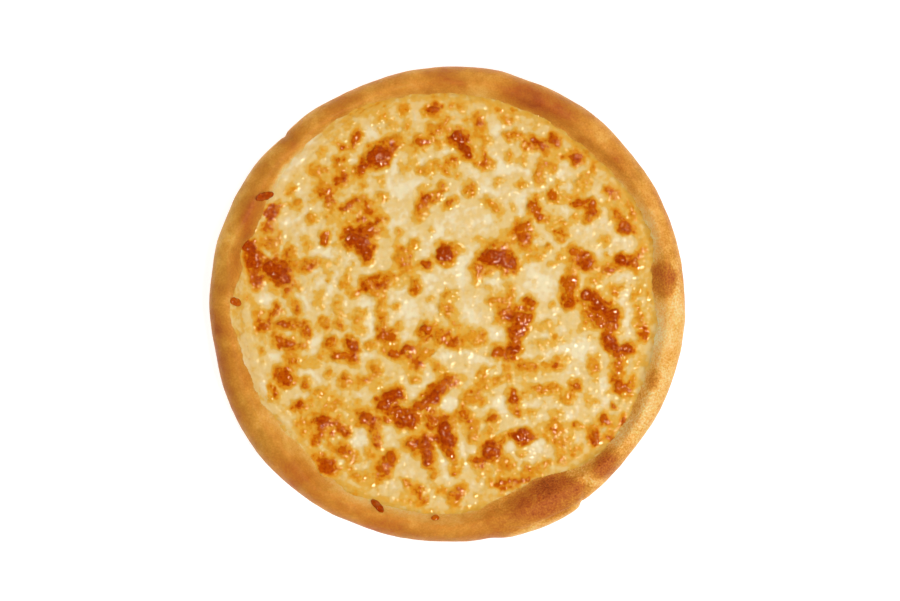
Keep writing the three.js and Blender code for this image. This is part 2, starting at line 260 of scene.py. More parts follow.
@dataclass
class LoafForm:
    """The loaf's driving sizes in millimetres, and the curves that follow from them."""

    diameter: float = 259.6
    crown_height: float = 18.8
    crown_inset: float = 9.2
    widest_height: float = 7.4
    rim_width: float = 19.3
    base_thickness: float = 5.5
    lip_height: float = 9.3
    cheese_level: float = 9.4
    crown_wave_shift: float = 40.0
    blister_reach: float = 1.5
    outline_swells: tuple[Swell, ...] = rows_of(
        Swell,
        (221, 15, 2.1), (293.5, 8.2, 2.2, 8), (322, 9, -1.5), (113, 9.5, -1.6), (268, 9, -0.8),
        (79, 3.5, 0.9), (135.5, 2, -0.7), (168, 14, 0.7), (5, 20, -0.7),
    )
    cheese_edge_swells: tuple[Swell, ...] = rows_of(
        Swell,
        (22, 8, 3.6), (105, 11, 1.5), (166, 3.4, 4.6), (200, 20, -3.2), (233.5, 2.6, 3.8), (243, 5, 2.0),
        (266, 7, 1.4), (295, 7, -6.0), (323, 6, 4.0), (2, 6, -1.7),
    )
    cream_radius: float = 113.5
    cream_swells: tuple[Swell, ...] = rows_of(
        Swell,
        (20, 10, 3.6), (6.5, 4.5, -6.5), (55, 12, -1.4), (118, 14, 3.0), (163, 8, -2.2), (181, 6, 4.2),
        (199, 8, 0.8), (227, 8, -2.4), (241, 4, 2.2), (294, 8, -10), (318, 8, 1.4),
    )
    crown_swells: tuple[Swell, ...] = rows_of(
        Swell,
        (295, 9, 2.6), (135, 3, -1.5), (220, 14, 1.0), (324, 9, -1.2), (307, 2, -1.4), (62, 10, 0.6),
    )
    rim_waves: tuple[Wave, ...] = rows_of(Wave, (7, 0.8, 0.13), (12, 2.1, 0.13), (19, 4.0, 0.09))
    cheese_edge_waves: tuple[Wave, ...] = rows_of(Wave, (11, 1.0, 0.6), (17, 3.0, 0.4))
    crust_blisters: tuple[CrustBlister, ...] = rows_of(
        CrustBlister,
        (6.5, 117, 8, 6, 1.8), (64, 119, 13, 7, 0.8), (91, 121, 9, 6, 0.7), (152, 118, 10, 6, 0.9),
        (195, 124, 11, 6, 0.8), (229, 121, 12, 8, 0.9), (296, 112, 13, 8, 1.6), (314, 121, 10, 7, 1.4),
    )
    outline_steps: int = 720

    @property
    def outer(self) -> float:
        """Nominal outer radius."""
        return self.diameter / 2

    @property
    def inner(self) -> float:
        """Nominal radius of the cheese."""
        return self.outer - self.rim_width

    def outer_radius(self, angle: Array) -> Array:
        """Give the loaf's outer radius at each angle."""
        return self.outer + total(self.outline_swells + self.rim_waves, angle)

    def cheese_radius(self, angle: Array) -> Array:
        """Give the radius of the dish that the cheese fills at each angle."""
        return self.inner + total(self.cheese_edge_swells + self.cheese_edge_waves, angle)

    def cream_limit(self, angle: Array) -> Array:
        """Give the radius at each angle where the covered, pale crust ends."""
        return self.cream_radius + total(self.cream_swells, angle)

    def crown(self, angle: Array) -> Array:
        """Give the crown's height at each angle."""
        waves = total(self.rim_waves, angle + self.crown_wave_shift)
        return self.crown_height + total(self.crown_swells, angle) + waves

    def blister_lift(self, angle: Array, radius: Array) -> Array:
        """Give how far the crust's blisters lift it.

        Args:
            angle: Each place's angle.
            radius: Its radius.

        Returns:
            The lift at each place.
        """
        lift = np.zeros(len(angle))
        for one in self.crust_blisters:
            along = np.radians(angle_apart(angle, one.at)) * one.radius / one.along
            across = (radius - one.radius) / one.across
            lift += one.rise * dome(np.hypot(along, across) / self.blister_reach)
        return lift

    def warped_radius(self, nominal: Array, angle: Array) -> Array:
        """Move nominal radii so that they follow the real dish and outline.

        Args:
            nominal: Radii on an even, round loaf.
            angle: Each one's angle.

        Returns:
            The radii on this loaf.
        """
        dish = self.cheese_radius(angle)
        share = (nominal - self.inner) / self.rim_width
        outside = dish + share * (self.outer_radius(angle) - dish)
        return np.where(nominal <= self.inner, nominal * dish / self.inner, outside)

    def slope_height(self, part: Array, top: Array | float) -> Array:
        """Give the inner slope's height at each part of the way down from the crown's top."""
        return self.lip_height + (top - self.lip_height) * (0.5 + 0.5 * np.cos(np.pi * part))

    def crust_top(self, angle: Array, radius: Array) -> Array:
        """Give the height of the inner slope or crown above the floor.

        Args:
            angle: Each place's angle.
            radius: Its radius.

        Returns:
            The height at each place.
        """
        dish = self.cheese_radius(angle)
        crown = self.warped_radius(np.full(len(angle), self.outer - self.crown_inset), angle)
        part = np.clip((crown - radius) / (crown - dish), 0, 1)
        return self.slope_height(part, self.crown(angle)) + self.blister_lift(angle, radius)

    def middle(self) -> tuple[float, float]:
        """Find the part's origin, the middle of the outline's bounding box.

        Returns:
            Its X and Y from the middle of the dish.
        """
        angle = np.linspace(0, 360, self.outline_steps, endpoint=False)
        outline = placed(angle, self.outer_radius(angle), np.zeros(len(angle)))
        return tuple((outline.min(0) + outline.max(0))[:2] / 2)

    def to_part(self, points: Array) -> Array:
        """Move points from the middle of the dish to the part's frame, in metres."""
        return (points - (*self.middle(), 0.0)) * MM


class MeshWork:
    """Steps that every piece's mesh goes through."""

    @staticmethod
    def finished(shape: bmesh.types.BMesh, name: str) -> Mesh:
        """Turn a modelled shape into a mesh.

        Args:
            shape: The shape, which is freed.
            name: The mesh's name.

        Returns:
            The mesh.
        """
        mesh = bpy.data.meshes.new(name)
        shape.to_mesh(mesh)
        shape.free()
        return mesh

    @staticmethod
    def points(mesh: Mesh) -> Array:
        """Read a mesh's points.

        Args:
            mesh: The mesh.

        Returns:
            One row for each point.
        """
        places = np.empty(len(mesh.vertices) * 3)
        mesh.vertices.foreach_get("co", places)
        return places.reshape(-1, 3)

    @staticmethod
    def move(mesh: Mesh, points: Array) -> None:
        """Write points back to a mesh."""
        mesh.vertices.foreach_set("co", points.astype(np.float32).ravel())
        mesh.update()

    @staticmethod
    def paint(mesh: Mesh, name: str, values: Array) -> None:
        """Keep a value for each point as an attribute that the finish reads."""
        layer = mesh.attributes.new(name, "FLOAT", "POINT")
        layer.data.foreach_set("value", np.clip(values, 0, 1).astype(np.float32))

    @staticmethod
    def stay_inside(points: Array, low: Vector, high: Vector) -> Array:
        """Draw points in where they pass the CAD box.

        Args:
            points: Points in metres.
            low: The box's lowest corner.
            high: Its highest corner.

        Returns:
            The points, scaled down along an axis only as far as the box asks.
        """
        for axis in range(3):
            reach = max(points[:, axis].max() / high[axis], 1.0)
            if low[axis] < 0:
                reach = max(reach, points[:, axis].min() / low[axis])
            points[:, axis] /= reach
        return points

    @staticmethod
    def make_object(name: str, mesh: Mesh, material: Material) -> Object:
        """Put a smooth-shaded mesh with its finish into the scene.

        Args:
            name: The object's name.
            mesh: Its mesh.
            material: Its finish.

        Returns:
            The object.
        """
        mesh.polygons.foreach_set("use_smooth", [True] * len(mesh.polygons))
        mesh.materials.append(material)
        piece = bpy.data.objects.new(name, mesh)
        bpy.context.scene.collection.objects.link(piece)
        return piece


class Shader:
    """A material with one principled surface, put together node by node."""

    def __init__(self, name: str, settings: dict[str, object]) -> None:
        """Start the material.

        Args:
            name: The material's name.
            settings: Values that are the same all over, by socket name.
        """
        self.material = bpy.data.materials.new(name)
        self.material.use_nodes = True
        self.tree = self.material.node_tree
        self.surface = self.tree.nodes["Principled BSDF"]
        for socket, value in settings.items():
            self.surface.inputs[socket].default_value = value
        self.places = self.tree.nodes.new("ShaderNodeTexCoord").outputs["Object"]

    def put(self, value: object, socket: Socket) -> None:
        """Link a socket to another, or set its value.

        Args:
            value: Another node's output, or a number or colour.
            socket: The input that takes it.
        """
        if isinstance(value, Socket):
            self.tree.links.new(value, socket)
        else:
            socket.default_value = value

    def dress(self, **values: object) -> None:
        """Give the surface's own sockets their values, an underscore for each space."""
        for name, value in values.items():
            self.put(value, self.surface.inputs[name.replace("_", " ")])

    def node(self, kind: str, **inputs: object) -> bpy.types.Node:
        """Add a node.

        Args:
            kind: The node's type.
            inputs: What its inputs take, by name, an underscore for each space.

        Returns:
            The node.
        """
        node = self.tree.nodes.new(kind)
        for name, value in inputs.items():
            self.put(value, node.inputs[name.replace("_", " ")])
        return node

    def attribute(self, name: str) -> Socket:
        """Read one of the mesh's painted values.

        Args:
            name: The attribute's name.

        Returns:
            The value.
        """
        node = self.node("ShaderNodeAttribute")
        node.attribute_name = name
        return node.outputs["Fac"]

    def noise(self, size: float, detail: float, rough: float) -> Socket:
        """Make noise from 0 to 1.

        Args:
            size: Width of a hill and hollow in millimetres.
            detail: How many finer layers it has.
            rough: How strong the finer layers are.

        Returns:
            The noise's value.
        """
        scale = 1 / (size * MM)
        node = self.node("ShaderNodeTexNoise", Vector=self.places, Scale=scale, Detail=detail, Roughness=rough)
        return node.outputs["Fac"]

    def math(self, operation: Sum, *values: object) -> Socket:
        """Work out one sum, product or the like.

        Args:
            operation: What to work out.
            values: Up to three values.

        Returns:
            The result.
        """
        node = self.node("ShaderNodeMath")
        node.operation = operation.value
        for value, socket in zip(values, node.inputs):
            self.put(value, socket)
        return node.outputs["Value"]

    def times(self, value: object, other: object) -> Socket:
        """Multiply two values."""
        return self.math(Sum.MULTIPLY, value, other)

    def line(self, value: object, slope: object, start: object) -> Socket:
        """Work out value times slope plus start."""
        return self.math(Sum.MULTIPLY_ADD, value, slope, start)

    def clamp(self, value: object) -> Socket:
        """Keep a value between 0 and 1."""
        return self.node("ShaderNodeClamp", Value=value).outputs["Result"]

    def scatter(self, value: object, noise: Socket, amount: object) -> Socket:
        """Spread a value up and down by noise from 0 to 1."""
        return self.math(Sum.ADD, value, self.times(self.line(noise, 2.0, -1.0), amount))

    def ramp(self, value: Socket, tones: Tones) -> Socket:
        """Turn a value into a colour.

        Args:
            value: The value, from 0 to 1.
            tones: The colours' places, from low to high, and the colours.

        Returns:
            The colour.
        """
        node = self.node("ShaderNodeValToRGB", Fac=value)
        elements = node.color_ramp.elements
        elements.remove(elements[1])
        for number, (place, colour) in enumerate(tones):
            stop = elements[0] if number == 0 else elements.new(place)
            stop.position = place
            stop.color = linear(colour)
        return node.outputs["Color"]

    def mix(self, share: object, first: object, second: object) -> Socket:
        """Mix two colours.

        Args:
            share: How much of the second, from 0 to 1.
            first: One colour.
            second: The other.

        Returns:
            The mixed colour.
        """
        node = self.node("ShaderNodeMix")
        node.data_type = "RGBA"
        for name, value in (("Factor", share), ("A", first), ("B", second)):
            self.put(value, node.inputs[name])
        return node.outputs["Result"]

    def span(self, value: Socket, low: float, high: float) -> Socket:
        """Turn 0 to 1 into low to high."""
        return self.node("ShaderNodeMapRange", Value=value, To_Min=low, To_Max=high).outputs["Result"]

    def bump(self, height: Socket, depth: object, **under: Socket) -> Socket:
        """Shade a relief from 0 to 1 of a full depth in metres, on another bump if given."""
        node = self.node("ShaderNodeBump", Strength=1.0, Distance=depth, Height=height, **under)
        return node.outputs["Normal"]


@dataclass(frozen=True)
class CrustFinish:
    """Baked crust: cream where it was covered, golden on the crown, brown where toasted."""

    tones: Tones = (
        (0.0, (246, 226, 172)), (0.15, (240, 205, 134)), (0.3, (238, 178, 90)), (0.45, (222, 150, 60)),
        (0.6, (202, 126, 45)), (0.75, (190, 103, 41)), (0.9, (170, 80, 35)), (1.0, (136, 62, 24)),
    )
    # Duller, more olive tones, used on the outer part of the rim round the left side.
    olive_tones: Tones = (
        (0.0, (240, 222, 168)), (0.3, (222, 176, 84)), (0.6, (188, 132, 46)), (1.0, (126, 66, 24)),
    )
    under_tones: Tones = (
        (0.0, (236, 214, 172)), (0.4, (222, 184, 124)), (0.7, (182, 128, 70)), (1.0, (110, 66, 34)),
    )
    blotch: Grain = (7, 3, 0.55)
    blotch_swing: float = 0.2
    speckle: Grain = (1.1, 2, 0.6)
    under_patch: Grain = (16, 4, 0.6)
    under_spot: Grain = (3, 2, 0.6)
    under_swing: float = 0.12
    under_span: Span = (-0.35, 1.25)
    pore: Grain = (1.1, 3, 0.6)
    dimple: Grain = (5, 2, 0.5)
    dimple_depth: float = 0.4 * MM
    sheen: Grain = (4, 2, 0.5)
    sheen_span: Span = (0.3, 0.55)

    def material(self) -> Material:
        """Build the material.

        Returns:
            The material, which reads the bread's toast with its painted light, and its olive, sand and under
            values.
        """
        shader = Shader("baked_crust", {
            "Specular IOR Level": 0.1,
            "Subsurface Weight": 0.4,
            "Subsurface Radius": (1.0, 0.4, 0.12),
            "Subsurface Scale": 0.004,
        })
        sand = shader.attribute("sand")
        toast_and_painted_light = shader.scatter(shader.attribute("toast_and_painted_light"), shader.noise(*self.blotch), self.blotch_swing)
        toast_and_painted_light = shader.scatter(toast_and_painted_light, shader.noise(*self.speckle), sand)
        plain, olive = shader.ramp(toast_and_painted_light, self.tones), shader.ramp(toast_and_painted_light, self.olive_tones)
        crust = shader.mix(shader.attribute("olive"), plain, olive)
        patch, spot = shader.noise(*self.under_patch), shader.noise(*self.under_spot)
        under = shader.span(shader.scatter(patch, spot, self.under_swing), *self.under_span)
        under = shader.ramp(under, self.under_tones)
        pores = shader.bump(shader.noise(*self.pore), shader.times(sand, MM))
        shader.dress(
            Base_Color=shader.mix(shader.attribute("under"), crust, under),
            Roughness=shader.span(shader.noise(*self.sheen), *self.sheen_span),
            Normal=shader.bump(shader.noise(*self.dimple), self.dimple_depth, Normal=pores),
        )
        return shader.material


@dataclass(frozen=True)
class CheeseFinish:
    """Melted cheese under a film of oil: cream pools, golden skin, red-brown blisters."""

    name: str = "melted_cheese"
    heart_tone: float = 1.0
    # Painted shade: a thin darker ring just inside each spot's edge stands in for the shade on a blister's
    # steep side.
    shade_ring_inset: float = 0.7
    shade_ring_width: float = 0.9
    shade_ring_tone: float = 0.05
    terrace_step: float = 0.2
    terrace_depth: float = 0.022
    tones: Tones = (
        (0.0, (243, 226, 182)), (0.08, (238, 213, 163)), (0.16, (234, 202, 140)), (0.24, (231, 191, 112)),
        (0.32, (228, 179, 87)), (0.42, (229, 170, 66)), (0.52, (229, 158, 47)), (0.64, (221, 136, 27)),
        (0.76, (205, 101, 12)), (0.88, (186, 75, 9)), (1.0, (166, 58, 7)),
    )
    fleck: Grain = (3.0, 2, 0.45)
    fleck_swing: Span = (0.5, 0.03)
    rag: Grain = (3.0, 2, 0.45)
    rag_swing: float = 1.15
    core: Span = (0.85, 0.95)
    heart: Span = (0.2, 0.8)
    char: Grain = (1.7, 1, 0.5)
    char_swing: float = 0.16
    crisp: Span = (1.5, -0.35)
    oil: Span = (0.45, 0.28)
    crumple: Grain = (2.0, 0, 0.4)
    crumple_depth: float = 0.8 * MM
    melt: Grain = (2.8, 0, 0.4)
    melt_depth: float = 0.9 * MM

    def material(self) -> Material:
        """Build the material.

        Returns:
            The material, which reads the cheese's painted golden tone, spot edge and spot tone.
        """
        shader = Shader(self.name, {
            "Specular Tint": (1.0, 0.83, 0.57, 1.0),
            "Roughness": 0.085,
            "Subsurface Weight": 0.05,
            "Subsurface Radius": (1.0, 0.5, 0.15),
            "Subsurface Scale": 0.004,
        })
        golden = shader.attribute("golden")
        golden = shader.scatter(golden, shader.noise(*self.fleck), shader.line(golden, *self.fleck_swing))
        inward = shader.times(shader.math(Sum.SUBTRACT, shader.attribute("spot_edge"), 0.5), EDGE_SPAN)
        inward = shader.scatter(inward, shader.noise(*self.rag), self.rag_swing)
        core = shader.clamp(shader.line(inward, *self.core))
        # Painted shade: darken a thin ring just inside each spot's edge, as on a blister's steep side.
        shade_ring = shader.math(Sum.ABSOLUTE, shader.math(Sum.SUBTRACT, inward, self.shade_ring_inset))
        shade_ring = shader.clamp(shader.line(shade_ring, -1 / self.shade_ring_width, 1.0))
        deep = shader.math(Sum.MINIMUM, shader.line(inward, *self.heart), self.heart_tone)
        deep = shader.line(shade_ring, self.shade_ring_tone, deep)
        spot = shader.times(shader.attribute("spot_tone"), deep)
        spot = shader.scatter(spot, shader.noise(*self.char), self.char_swing)
        more = shader.math(Sum.MAXIMUM, shader.math(Sum.SUBTRACT, spot, golden), 0.0)
        brown = shader.line(core, more, golden)
        terrace = shader.math(Sum.SINE, shader.times(brown, 2 * math.pi / self.terrace_step))
        brown = shader.line(terrace, -self.terrace_depth, brown)
        crisp = shader.clamp(shader.line(brown, *self.crisp))
        crumple = shader.bump(shader.times(shader.noise(*self.crumple), crisp), self.crumple_depth)
        shader.dress(
            Base_Color=shader.ramp(brown, self.tones),
            Specular_IOR_Level=shader.line(crisp, *self.oil),
            Normal=shader.bump(shader.noise(*self.melt), self.melt_depth, Normal=crumple),
        )
        return shader.material


@dataclass(frozen=True)
class ToastAndPaintedLightPatch:
    """A place on the crust that is darker or paler than the rest: most baked so, and a few hold painted shade
    and painted highlights.

    The middle is an angle and a radius in millimetres, and the spreads run along the
    rim and across it, in millimetres. A higher edge makes it end more sharply.
    """

    at: float
    radius: float
    along: float
    across: float
    by: float
    edge: float = 3.0

    def over(self, angle: Array, radius: Array) -> Array:
        """Give the patch's amount at each place."""
        along = np.radians(angle_apart(angle, self.at)) * self.radius / self.along
        return self.by * np.exp(-0.5 * np.hypot(along, (radius - self.radius) / self.across) ** self.edge)


@dataclass(frozen=True)
class Crease:
    """A fold in the crust between two places, each an angle and a radius."""

    start: tuple[float, float]
    end: tuple[float, float]
    width: float
    depth: float

    def over(self, points: Array) -> Array:
        """Give how deep the fold lies.

        Args:
            points: Points in millimetres from the middle of the dish.

        Returns:
            The depth at each point, from 0 to the fold's own.
        """
        angle, radius = np.array([self.start, self.end]).T
        first, last = placed(angle, radius, radius)[:, :2]
        way = last - first
        share = np.clip((points[:, :2] - first) @ way / (way @ way), 0, 1)
        away = np.linalg.norm(points[:, :2] - first - share[:, None] * way, axis=1)
        return self.depth * np.exp(-((away / self.width) ** 2))


@dataclass
class Bread:
    """The loaf: flat baked underside, round outer wall, crown and the slope into the dish."""

    form: LoafForm
    noise: Noise
    steps_round: int = 840
    under_radii: tuple[float, ...] = (40.0, 70.0, 90.0, 102.0, 110.0, 116.0)
    lower_steps: int = 12
    upper_steps: int = 20
    slope_steps: int = 26
    floor_radii: tuple[float, ...] = (100.0, 60.0)
    weld: float = 0.001
    # Toasted and pale patches. Three of them hold painted light: painted shade in the pinch at 134 degrees,
    # and painted highlights at 139 and 0 degrees.
    toast_and_painted_light_patches: tuple[ToastAndPaintedLightPatch, ...] = rows_of(
        ToastAndPaintedLightPatch,
        (6.2, 117.2, 9.8, 7, 0.25, 9), (5.6, 119.8, 5.5, 3.2, 0.13), (297, 117.6, 18, 9.8, 0.23, 5),
        (300, 113, 8, 4, 0.08), (297, 130.8, 24, 2.4, -0.16, 4), (314.6, 121.5, 7.5, 6, 0.34, 4),
        (66, 120, 16, 7, 0.22), (46, 115, 12, 4, 0.1), (91, 121, 12, 5, 0.08), (119, 121, 12, 6, 0.1),
        # (134, 124) on the next line darkens the pinch: painted shade.
        (134, 124, 4, 4, 0.12), (142, 123, 20, 5, 0.06), (155, 118, 11, 5, 0.2), (162, 115, 8, 4, 0.06),
        # (139, 114.5) on the next line pales the inner slope: a painted highlight.
        (146, 128, 14, 3, -0.08), (127, 126, 8, 4, -0.08), (139, 114.5, 15, 2, -0.24),
        (185, 119, 8, 5, 0.05), (195, 116, 9, 3, 0.1), (250, 121, 56, 3, 0.07), (37, 121.5, 16, 3, 0.08),
        (90, 121.5, 10, 3, 0.06), (316, 118, 6, 3, 0.1), (170, 122, 24, 5, 0.04), (193, 128, 26, 4, 0.2),
        (225, 128, 24, 5, 0.12), (255, 128, 34, 5, 0.09), (280, 128, 12, 5, 0.12), (340, 118, 5, 2.5, 0.3),
        (349, 121, 32, 11, -0.24), (22, 120, 24, 7, -0.1), (252, 116, 36, 5, -0.16),
        # (0, 124) on the next line pales the outer rim: a painted highlight.
        (320, 119, 10, 6, -0.14), (329, 124, 15, 7, -0.14), (17, 114, 10, 5, -0.2), (0, 124, 8, 3, -0.1),
        (68, 117, 22, 8, 0.05), (165, 123, 7, 6, -0.07), (334, 121, 16, 4, -0.06),
        (337, 115.5, 16, 3, 0.1),
    )
    creases: tuple[Crease, ...] = rows_of(
        Crease,
        ((283, 124), (289, 129), 1.0, 0.6), ((289, 129), (304, 130), 1.0, 0.8),
        ((304, 131), (308.5, 121), 1.8, 1.2), ((134.5, 130), (133, 121), 1.6, 0.7),
    )
    streaks: tuple[Crease, ...] = rows_of(
        Crease,
        ((311.5, 131), (305.5, 113), 2.2, 0.18), ((284, 131), (291, 129.5), 1.2, 0.16),
        ((47, 122), (50, 128), 4.0, 0.14), ((82, 118), (86, 124), 5.0, 0.12),
    )
    cream_fade: float = 7.0
    crown_toast: float = 0.52
    cream_toast: float = 0.3
    top_fade: float = 4.0
    wall_paleness: float = 0.16
    wander: Ripple = Ripple(12, 1.2, 3.0)
    mottle: tuple[Ripple, ...] = rows_of(Ripple, (26, 0.1), (11, 0.06, 5.0), (5, 0.03, 6.0))
    skin: tuple[Ripple, ...] = rows_of(Ripple, (15, 0.32), (6, 0.12, 2.0), (2.4, 0.05, 4.0))
    skin_fade: float = 3.0
    slope_lean: float = 0.3
    under_fade: float = 1.6
    # The crust turns duller and more olive towards the outer rim, mostly round the left side.
    olive_rim: Span = (116, 124)
    olive_mottle: Ripple = Ripple(14, 0.25, 7.0)
    olive_swells: tuple[Swell, ...] = rows_of(Swell, (162, 26, 0.6), (265, 12, 0.2), (214, 8, 0.3))
    sand: float = 0.14
    sand_swells: tuple[Swell, ...] = rows_of(
        Swell,
        (325, 22, 0.3), (20, 25, 0.1), (296, 9, 0.16), (6.5, 4.5, 0.15),
    )

    def section(self) -> Array:
        """Draw the loaf's section, from below its middle up over the crown and in.

        Returns:
            One row of radius and height for each place on it.
        """
        form = self.form
        wall = form.outer - form.crown_inset
        low = np.linspace(-np.pi / 2, 0, self.lower_steps, endpoint=False)
        high = np.linspace(0, np.pi / 2, self.upper_steps, endpoint=False)
        part = np.linspace(0, 1, self.slope_steps + 1)
        crown_rise = (form.crown_height - form.widest_height) * np.sin(high)
        pieces = (
            [(radius, 0.0) for radius in (0.0, *self.under_radii)],
            np.stack([wall + form.crown_inset * np.cos(low), form.widest_height * (1 + np.sin(low))], 1),
            np.stack([wall + form.crown_inset * np.cos(high), form.widest_height + crown_rise], 1),
            np.stack([wall + part * (form.inner - wall), form.slope_height(part, form.crown_height)], 1),
            [(radius, form.base_thickness) for radius in (form.inner, *self.floor_radii, 0.0)],
        )
        return np.concatenate(pieces)

    def turned(self) -> Mesh:
        """Bend a grid round the section.

        Returns:
            An even, round loaf.
        """
        section = self.section()
        last = len(section) - 1
        shape = bmesh.new()
        bmesh.ops.create_grid(shape, x_segments=last, y_segments=self.steps_round, size=0.5)
        for vert in shape.verts:
            radius, height = section[round((vert.co.x + 0.5) * last)]
            turn = 2 * math.pi * (vert.co.y + 0.5)
            vert.co = Vector((radius * math.cos(turn), radius * math.sin(turn), height))
        bmesh.ops.remove_doubles(shape, verts=shape.verts, dist=self.weld)
        bmesh.ops.recalc_face_normals(shape, faces=shape.faces)
        return MeshWork.finished(shape, "bread_crust")

    def toast_and_painted_light(self, angle: Array, radius: Array, height: Array) -> Array:
        """Work out how far the crust is baked, with a few patches of painted shade and painted highlight.

        Args:
            angle: Each place's angle.
            radius: Its radius.
            height: Its height above the floor.

        Returns:
            The baking at each place, from 0 for cream to 1 for char, painted light included.
        """
        places = placed(angle, radius, height)
        wander = self.noise.of(places, self.wander)
        edge = self.form.cream_limit(angle)
        share = smooth_step(radius + wander, edge - self.cream_fade / 2, edge + self.cream_fade)
        baked = self.cream_toast + share * (self.crown_toast - self.cream_toast)
        widest = self.form.widest_height
        top = smooth_step(height, widest, widest + self.top_fade)
        # The patches include painted shade in the pinch and painted highlights on the slope and outer rim.
        baked += top * sum(patch.over(angle, radius + wander) for patch in self.toast_and_painted_light_patches)
        baked -= top * sum(streak.over(places) for streak in self.streaks)
        baked -= self.wall_paleness * smooth_step(widest - height, 0, widest)
        return baked + self.noise.of(places, *self.mottle)

    def uneven(self, points: Array) -> Array:
        """Give how far the baked skin stands out or lies in at each point."""
        return self.noise.of(points, *self.skin) - sum(crease.over(points) for crease in self.creases)

    def build(self, finish: CrustFinish) -> Object:
        """Make the loaf.

        Args:
            finish: The crust's finish.

        Returns:
            The finished piece, in the part's frame.
        """
        mesh = self.turned()
        form = self.form
        nominal = MeshWork.points(mesh)
        level = nominal[:, 2]
        angle, flat = polar(nominal)
        radius = form.warped_radius(flat, angle)
        share = np.clip((level - form.widest_height) / (form.crown_height - form.widest_height), 0, None)
        shown = (flat > form.inner) & (level > 0)
        rise = share * (form.crown(angle) - form.crown_height)
        rise += np.minimum(1, 2 * share) * form.blister_lift(angle, radius)
        points = placed(angle, radius, level + np.where(shown, rise, 0))

        wall = form.outer - form.crown_inset
        outward = np.stack([flat - wall, level - form.widest_height], 1)
        length = np.maximum(np.linalg.norm(outward, axis=1), TINY)
        on_slope = flat < wall
        out_radius = np.where(on_slope, self.slope_lean * outward[:, 0], outward[:, 0]) / length
        out_height = np.where(on_slope, 1.0, outward[:, 1] / length)
        uneven = np.where(shown, self.uneven(points) * smooth_step(level, 0.0, self.skin_fade), 0)
        points += placed(angle, uneven * out_radius, uneven * out_height)

        low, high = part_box("bread")
        olive = total(self.olive_swells, angle) * smooth_step(radius, *self.olive_rim)
        MeshWork.paint(mesh, "toast_and_painted_light", self.toast_and_painted_light(angle, polar(points)[1], points[:, 2]))
        MeshWork.paint(mesh, "olive", olive + self.noise.of(points, self.olive_mottle))
        MeshWork.paint(mesh, "sand", self.sand + total(self.sand_swells, angle))
        MeshWork.paint(mesh, "under", smooth_step(-level, -self.under_fade, 0.0))
        MeshWork.move(mesh, MeshWork.stay_inside(form.to_part(points), low, high))
        piece = MeshWork.make_object("bread_crust", mesh, finish.material())
        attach(piece, "root")
        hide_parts("bread")
        return piece


@dataclass(frozen=True)
class Browned:
    """One spot of the cheese: its pixel in the photograph, its length and width in
    millimetres, its tone from 0 for cream to 1 for char, and its turn in degrees."""

    column: float
    row: float
    length: float
    width: float
    tone: float = 0.0
    turn: float = 0.0

    @property
    def small_side(self) -> float:
        """The shorter of its length and width."""
        return min(self.length, self.width)

    def edge_distance(self, across: Array, along: Array) -> Array:
        """Measure how far places are from the spot's edge.

        Args:
            across: Each place's X from the spot's middle.
            along: Its Y.

        Returns:
            The distances, below 0 inside the spot.
        """
        turn = math.radians(self.turn)
        forward = (across * math.cos(turn) + along * math.sin(turn)) / (self.length / 2)
        sideways = (along * math.cos(turn) - across * math.sin(turn)) / (self.width / 2)
        level = np.hypot(forward, sideways)
        slope = np.hypot(forward / (self.length / 2), sideways / (self.width / 2))
        distance = level * (level - 1) / np.maximum(slope, TINY)
        return np.maximum(distance, -self.width / 2)

    def near(self, across: Array, along: Array, photo: PhotoFrame, margin: float = 7.0) -> tuple[Array, Array]:
        """Pick the places on and round the spot.

        Args:
            across: Each place's X in millimetres.
            along: Each place's Y.
            photo: Where the photograph's pixels lie.
            margin: How far round the spot to look.

        Returns:
            The places' numbers and their distances from the spot's edge.
        """
        middle_x, middle_y = photo.place(self.column, self.row)
        across, along = across - middle_x, along - middle_y
        reach = self.length / 2 + margin
        pick = np.flatnonzero((np.abs(across) < reach) & (np.abs(along) < reach))
        return pick, self.edge_distance(across[pick], along[pick])
